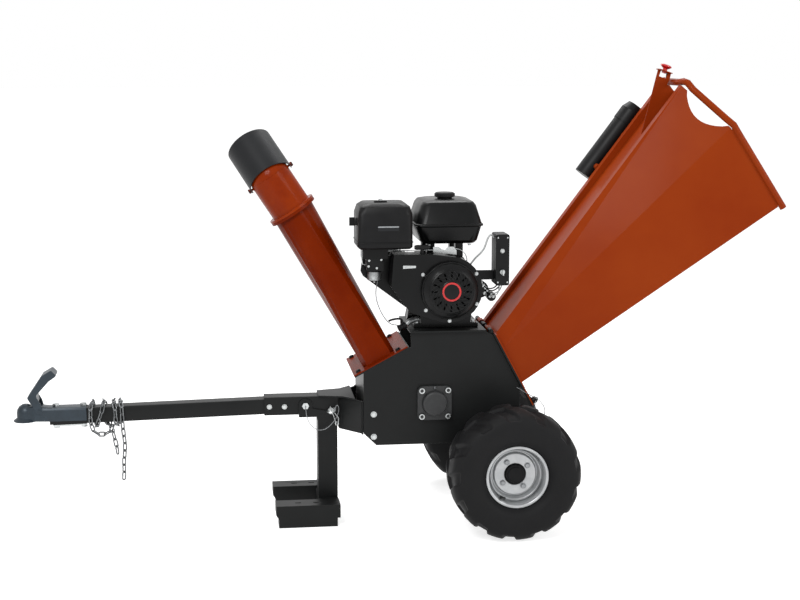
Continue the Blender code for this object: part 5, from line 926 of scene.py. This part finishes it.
def make_carburettor_parts():
    """The bright float bowl, screws, link rod and hose, and the sheet beside the cylinder."""
    points, faces = revolved([(0.0213, 0.0), (0.0222, 0.0), (0.0226, 0.003), (0.0222, 0.005), (0.0217, 0.006),
                              (0.0217, 0.022), (0.0212, 0.026), (0.0213, 0.026)], 40, ring=True)
    bowl = (points + (*FLOAT_BOWL, 0.776), faces)
    piece("float_bowl_shell", [bowl], ALLOY)
    screws = [round_head((x, CARBURETTOR_Y - GAP, z), FORWARD, 0.004, 0.003, 0.0018)
              for x, z in ((-0.4, 0.816), (-0.426, 0.822), (-0.424, 0.84), (-0.386, 0.842))]
    screws.append(round_head((*FLOAT_BOWL, 0.7718), (0, 0, -1), 0.005, 0.0045, 0.0022))
    piece("carburettor_screws", screws, ZINC)
    rod = fine_path([(-0.4475, -0.118, 0.8765), (-0.448, -0.118, 0.86), (-0.447, -0.117, 0.84),
                     (-0.444, -0.114, 0.829), (-0.4335, -0.108, 0.8265)], 6)
    piece("choke_link_rod", [swept(rod, 0.0017, 10)], ZINC)
    outline = [(-0.352, 0.845), (-0.3745, 0.845), (-0.3745, 0.8205), (-0.3975, 0.8205), (-0.3975, 0.845),
               (-0.44, 0.845), (-0.446, 0.8), (-0.438, 0.784), (-0.398, 0.753), (-0.35, 0.717),
               (-0.302, 0.681), (-0.302, 0.845)]
    piece("cylinder_side_sheet", [upright(outline, -0.0579, -0.0559)], ENGINE, bevel=0.0005)
    hose = fine_path([(-0.396, -0.1, 0.7755), (-0.402, -0.103, 0.745), (-0.4, -0.102, 0.715),
                      (-0.388, -0.098, 0.68), (-0.37, -0.093, 0.65), (-0.352, -0.088, 0.634),
                      (-0.334, -0.085, 0.63)], 8)
    piece("vent_hose", [swept(hose, 0.0014, 10)], STEEL)


def make_drain_parts():
    """The oil drain: an alloy elbow from the crankcase, with a black valve and its lever."""
    elbow = fine_path([(-0.2645, -0.074, 0.646), (-0.28, -0.078, 0.645), (-0.294, -0.083, 0.64),
                       (-0.304, -0.086, 0.631)], 6)
    piece("oil_drain_elbow", [swept(elbow, 0.0088, 20)], ALLOY)
    body = revolved([(0, 0), (0.0105, 0), (0.0125, 0.002), (0.0125, 0.011), (0.0095, 0.013), (0.0095, 0.02),
                     (0.011, 0.022), (0.011, 0.027), (0, 0.028)], 28)
    valve = put(body, (-0.3055, -0.0865, 0.63), (-0.72, -0.12, -0.3))
    piece("oil_drain_valve", [valve], PLASTIC, angle=30)
    lever = fine_path([(-0.316, -0.092, 0.636), (-0.32, -0.094, 0.648), (-0.332, -0.096, 0.652),
                       (-0.35, -0.098, 0.65), (-0.362, -0.099, 0.646)], 6)
    piece("oil_drain_lever", [swept(lever, 0.0032, 12)], PLASTIC)
    places = [(CRANK[0] + dx, y, 0.6326 + GAP) for dx in (-0.0905, 0.0905) for y in (-0.072, 0.078)]
    bolt_set("engine_foot_bolts", places, (0, 0, 1), 0.004)


def starter_lead(index, lean, low):
    """One of the leads from the starter motor, bowed forward on its way up to the control box."""
    line = fine_path([(-0.056 + lean, -0.0705, low), (-0.046 + lean, -0.086, low - 0.006),
                      (-0.03 + 0.3 * lean, -0.096 - 0.002 * index, low - 0.004),
                      (-0.018 + 0.5 * lean, -0.1 - 0.002 * index, low + 0.006),
                      (-0.016 + 0.9 * lean, -0.102 - 0.003 * index, 0.7568)], 8)
    return swept(line, 0.0021, 10)


def make_wiring():
    """Cables between the control box, starter motor and crankcase, with their bright ends."""
    light = fine_path([(-0.0295, -0.1, 0.905), (-0.04, -0.104, 0.914), (-0.05, -0.106, 0.903),
                       (-0.056, -0.106, 0.886), (-0.062, -0.104, 0.87), (-0.072, -0.098, 0.855),
                       (-0.086, -0.086, 0.838), (-0.101, -0.074, 0.815)], 8)
    piece("light_cable", [swept(light, 0.003, 12)], CLEAR_CABLE)
    leads = [starter_lead(index, lean, low) for index, (lean, low)
             in enumerate(((0.0, 0.748), (0.007, 0.741), (0.014, 0.732), (0.004, 0.724)))]
    piece("starter_cables", leads[:2], PLASTIC)
    piece("starter_earth_leads", leads[2:], CLEAR_CABLE)
    ends = [(x, -0.0703, z) for x, z in ((-0.056, 0.748), (-0.049, 0.741), (-0.042, 0.732), (-0.052, 0.724),
                                         (-0.076, 0.748), (-0.073, 0.722), (-0.064, 0.757))]
    bolt_set("starter_terminals", ends, FORWARD, 0.0022)
    can = revolved([(0, 0), (0.012, 0), (0.0145, 0.002), (0.0145, 0.034), (0.012, 0.037), (0, 0.037)], 28)
    piece("starter_solenoid", [put(can, (-0.033, -0.052, 0.715), FORWARD)], ENGINE)
    nuts = [(x, -0.0893, z) for x, z in ((-0.0385, 0.716), (-0.0275, 0.715), (-0.033, 0.7225))]
    bolt_set("solenoid_nuts", nuts, FORWARD, 0.0018)


def make_control_box_parts():
    """The charge lamp and the screws on the front of the control box."""
    lens = revolved([(0, 0), (0.0068, 0), (0.0068, 0.0012), (0.0055, 0.002), (0.0048, 0.0042),
                     (0, 0.0052)], 24)
    front = CONTROL_BOX_Y - GAP
    piece("charge_lamp", [put(lens, (-0.0085, front, 0.866), FORWARD)], CLEAR_CABLE)
    screws = [round_head((-0.0075 + dx, front, 0.8375 + dz), FORWARD, 0.0026, 0.0014, 0.0012)
              for dx in (-0.015, 0.015) for dz in (-0.07, 0.07)]
    piece("control_box_screws", screws, ZINC)


def make_governor_parts():
    """The governor's zinc bracket and its two link rods."""
    bracket = upright([(-0.224, 0.8625), (-0.15, 0.8535), (-0.15, 0.868), (-0.16, 0.8795),
                       (-0.178, 0.8795), (-0.186, 0.869), (-0.196, 0.8715), (-0.206, 0.8795),
                       (-0.224, 0.8795)], -0.114, -0.1122)
    piece("governor_bracket", [bracket], ZINC, bevel=0.0004)
    routes = ([(-0.226, -0.1165, 0.87), (-0.245, -0.1175, 0.8705), (-0.262, -0.1175, 0.8685),
               (-0.29, -0.116, 0.869), (-0.33, -0.114, 0.87), (-0.365, -0.112, 0.869)],
              [(-0.155, -0.1165, 0.874), (-0.14, -0.1175, 0.87), (-0.125, -0.1165, 0.859),
               (-0.118, -0.113, 0.844), (-0.116, -0.1075, 0.833)])
    links = [swept(fine_path(route, 6), 0.0014, 10) for route in routes]
    piece("governor_links", links, ZINC)


# Stage


def aimed_lamp(name, place, target, size, power):
    """A white square area lamp that points at a target."""
    data = bpy.data.lights.new(name, "AREA")
    data.shape = "SQUARE"
    data.size = size
    data.energy = power
    item = added(name, data)
    item.location = at(place)
    axes = turn_to(np.asarray(place, float) - np.asarray(target, float))
    item.rotation_euler = Matrix(axes.T.tolist()).to_euler()


def make_camera():
    """The photograph's camera: place, yaw towards the hopper, pitch down and focal length."""
    data = bpy.data.cameras.new("photo_camera")
    data.sensor_width = 36.0
    data.lens = FOCAL_PIXELS / PHOTO_WIDTH * data.sensor_width
    item = added("photo_camera", data)
    item.location = at(CAMERA_PLACE)
    item.rotation_euler = (math.pi / 2 - CAMERA_PITCH, 0.0, -CAMERA_YAW)
    bpy.context.scene.camera = item


def seen_by_eye(tree):
    """1 for rays that show the background: straight from the camera, mirrored or through glass."""
    rays = add(tree, "ShaderNodeLightPath")
    mirrored = add(tree, "ShaderNodeMath", {"operation": "MAXIMUM"})
    tree.links.new(rays.outputs["Is Glossy Ray"], mirrored.inputs[0])
    tree.links.new(rays.outputs["Is Transmission Ray"], mirrored.inputs[1])
    some = add(tree, "ShaderNodeMath", {"operation": "MAXIMUM"})
    tree.links.new(rays.outputs["Is Camera Ray"], some.inputs[0])
    tree.links.new(mirrored.outputs["Value"], some.inputs[1])
    return some.outputs["Value"]


def floor_material():
    """A pale floor that shades what stands on it and glows only for rays that show the background."""
    material = bpy.data.materials.new("white_studio_floor")
    material.use_nodes = True
    tree = material.node_tree
    shader = tree.nodes["Principled BSDF"]
    shader.inputs["Base Color"].default_value = linear("#e8e8e8")
    shader.inputs["Roughness"].default_value = 0.9
    glow = add(tree, "ShaderNodeEmission", {"Strength": FLOOR_GLOW})
    both = add(tree, "ShaderNodeAddShader")
    nothing = add(tree, "ShaderNodeEmission", {"Strength": 0.0})
    choice = add(tree, "ShaderNodeMixShader", None, {"Fac": seen_by_eye(tree)})
    tree.links.new(nothing.outputs[0], choice.inputs[1])
    tree.links.new(glow.outputs[0], choice.inputs[2])
    tree.links.new(shader.outputs[0], both.inputs[0])
    tree.links.new(choice.outputs[0], both.inputs[1])
    tree.links.new(both.outputs[0], tree.nodes["Material Output"].inputs["Surface"])
    return material


def make_floor():
    """A wide floor that keeps the shadow."""
    far = FLOOR_HALF_WIDTH
    mesh = bpy.data.meshes.new("studio_floor")
    mesh.from_pydata([(-far, -far, 0), (far, -far, 0), (far, far, 0), (-far, far, 0)], [], [(0, 1, 2, 3)])
    mesh.materials.append(floor_material())
    floor = added("studio_floor", mesh)


def make_surround():
    """A surround that is white to the eye and dimmer as a light."""
    world = bpy.data.worlds.new("studio")
    bpy.context.scene.world = world
    world.use_nodes = True
    tree = world.node_tree
    back = tree.nodes["Background"]
    back.inputs["Color"].default_value = linear("#ffffff")
    limits = {"To Min": SKY_LIGHT, "To Max": 1.0}
    light = add(tree, "ShaderNodeMapRange", limits, {"Value": seen_by_eye(tree)})
    tree.links.new(light.outputs["Result"], back.inputs["Strength"])


def make_lamps():
    """Soft lamps: key, fill and top."""
    for name, place, target, width, power in LAMPS:
        aimed_lamp(name, place, target, width, power)


finish_nodes()
make_wheels()
make_chain()
make_lanyards()
soften_nodes()
make_pin_parts()
make_hopper_parts()
make_housing_bolts()
make_chute_parts()
make_air_box_parts()
make_recoil_parts()
make_tank_parts()
make_carburettor_parts()
make_drain_parts()
make_wiring()
make_control_box_parts()
make_governor_parts()
make_camera()
make_floor()
make_surround()
make_lamps()

bpy.context.scene.view_settings.view_transform = "Standard"
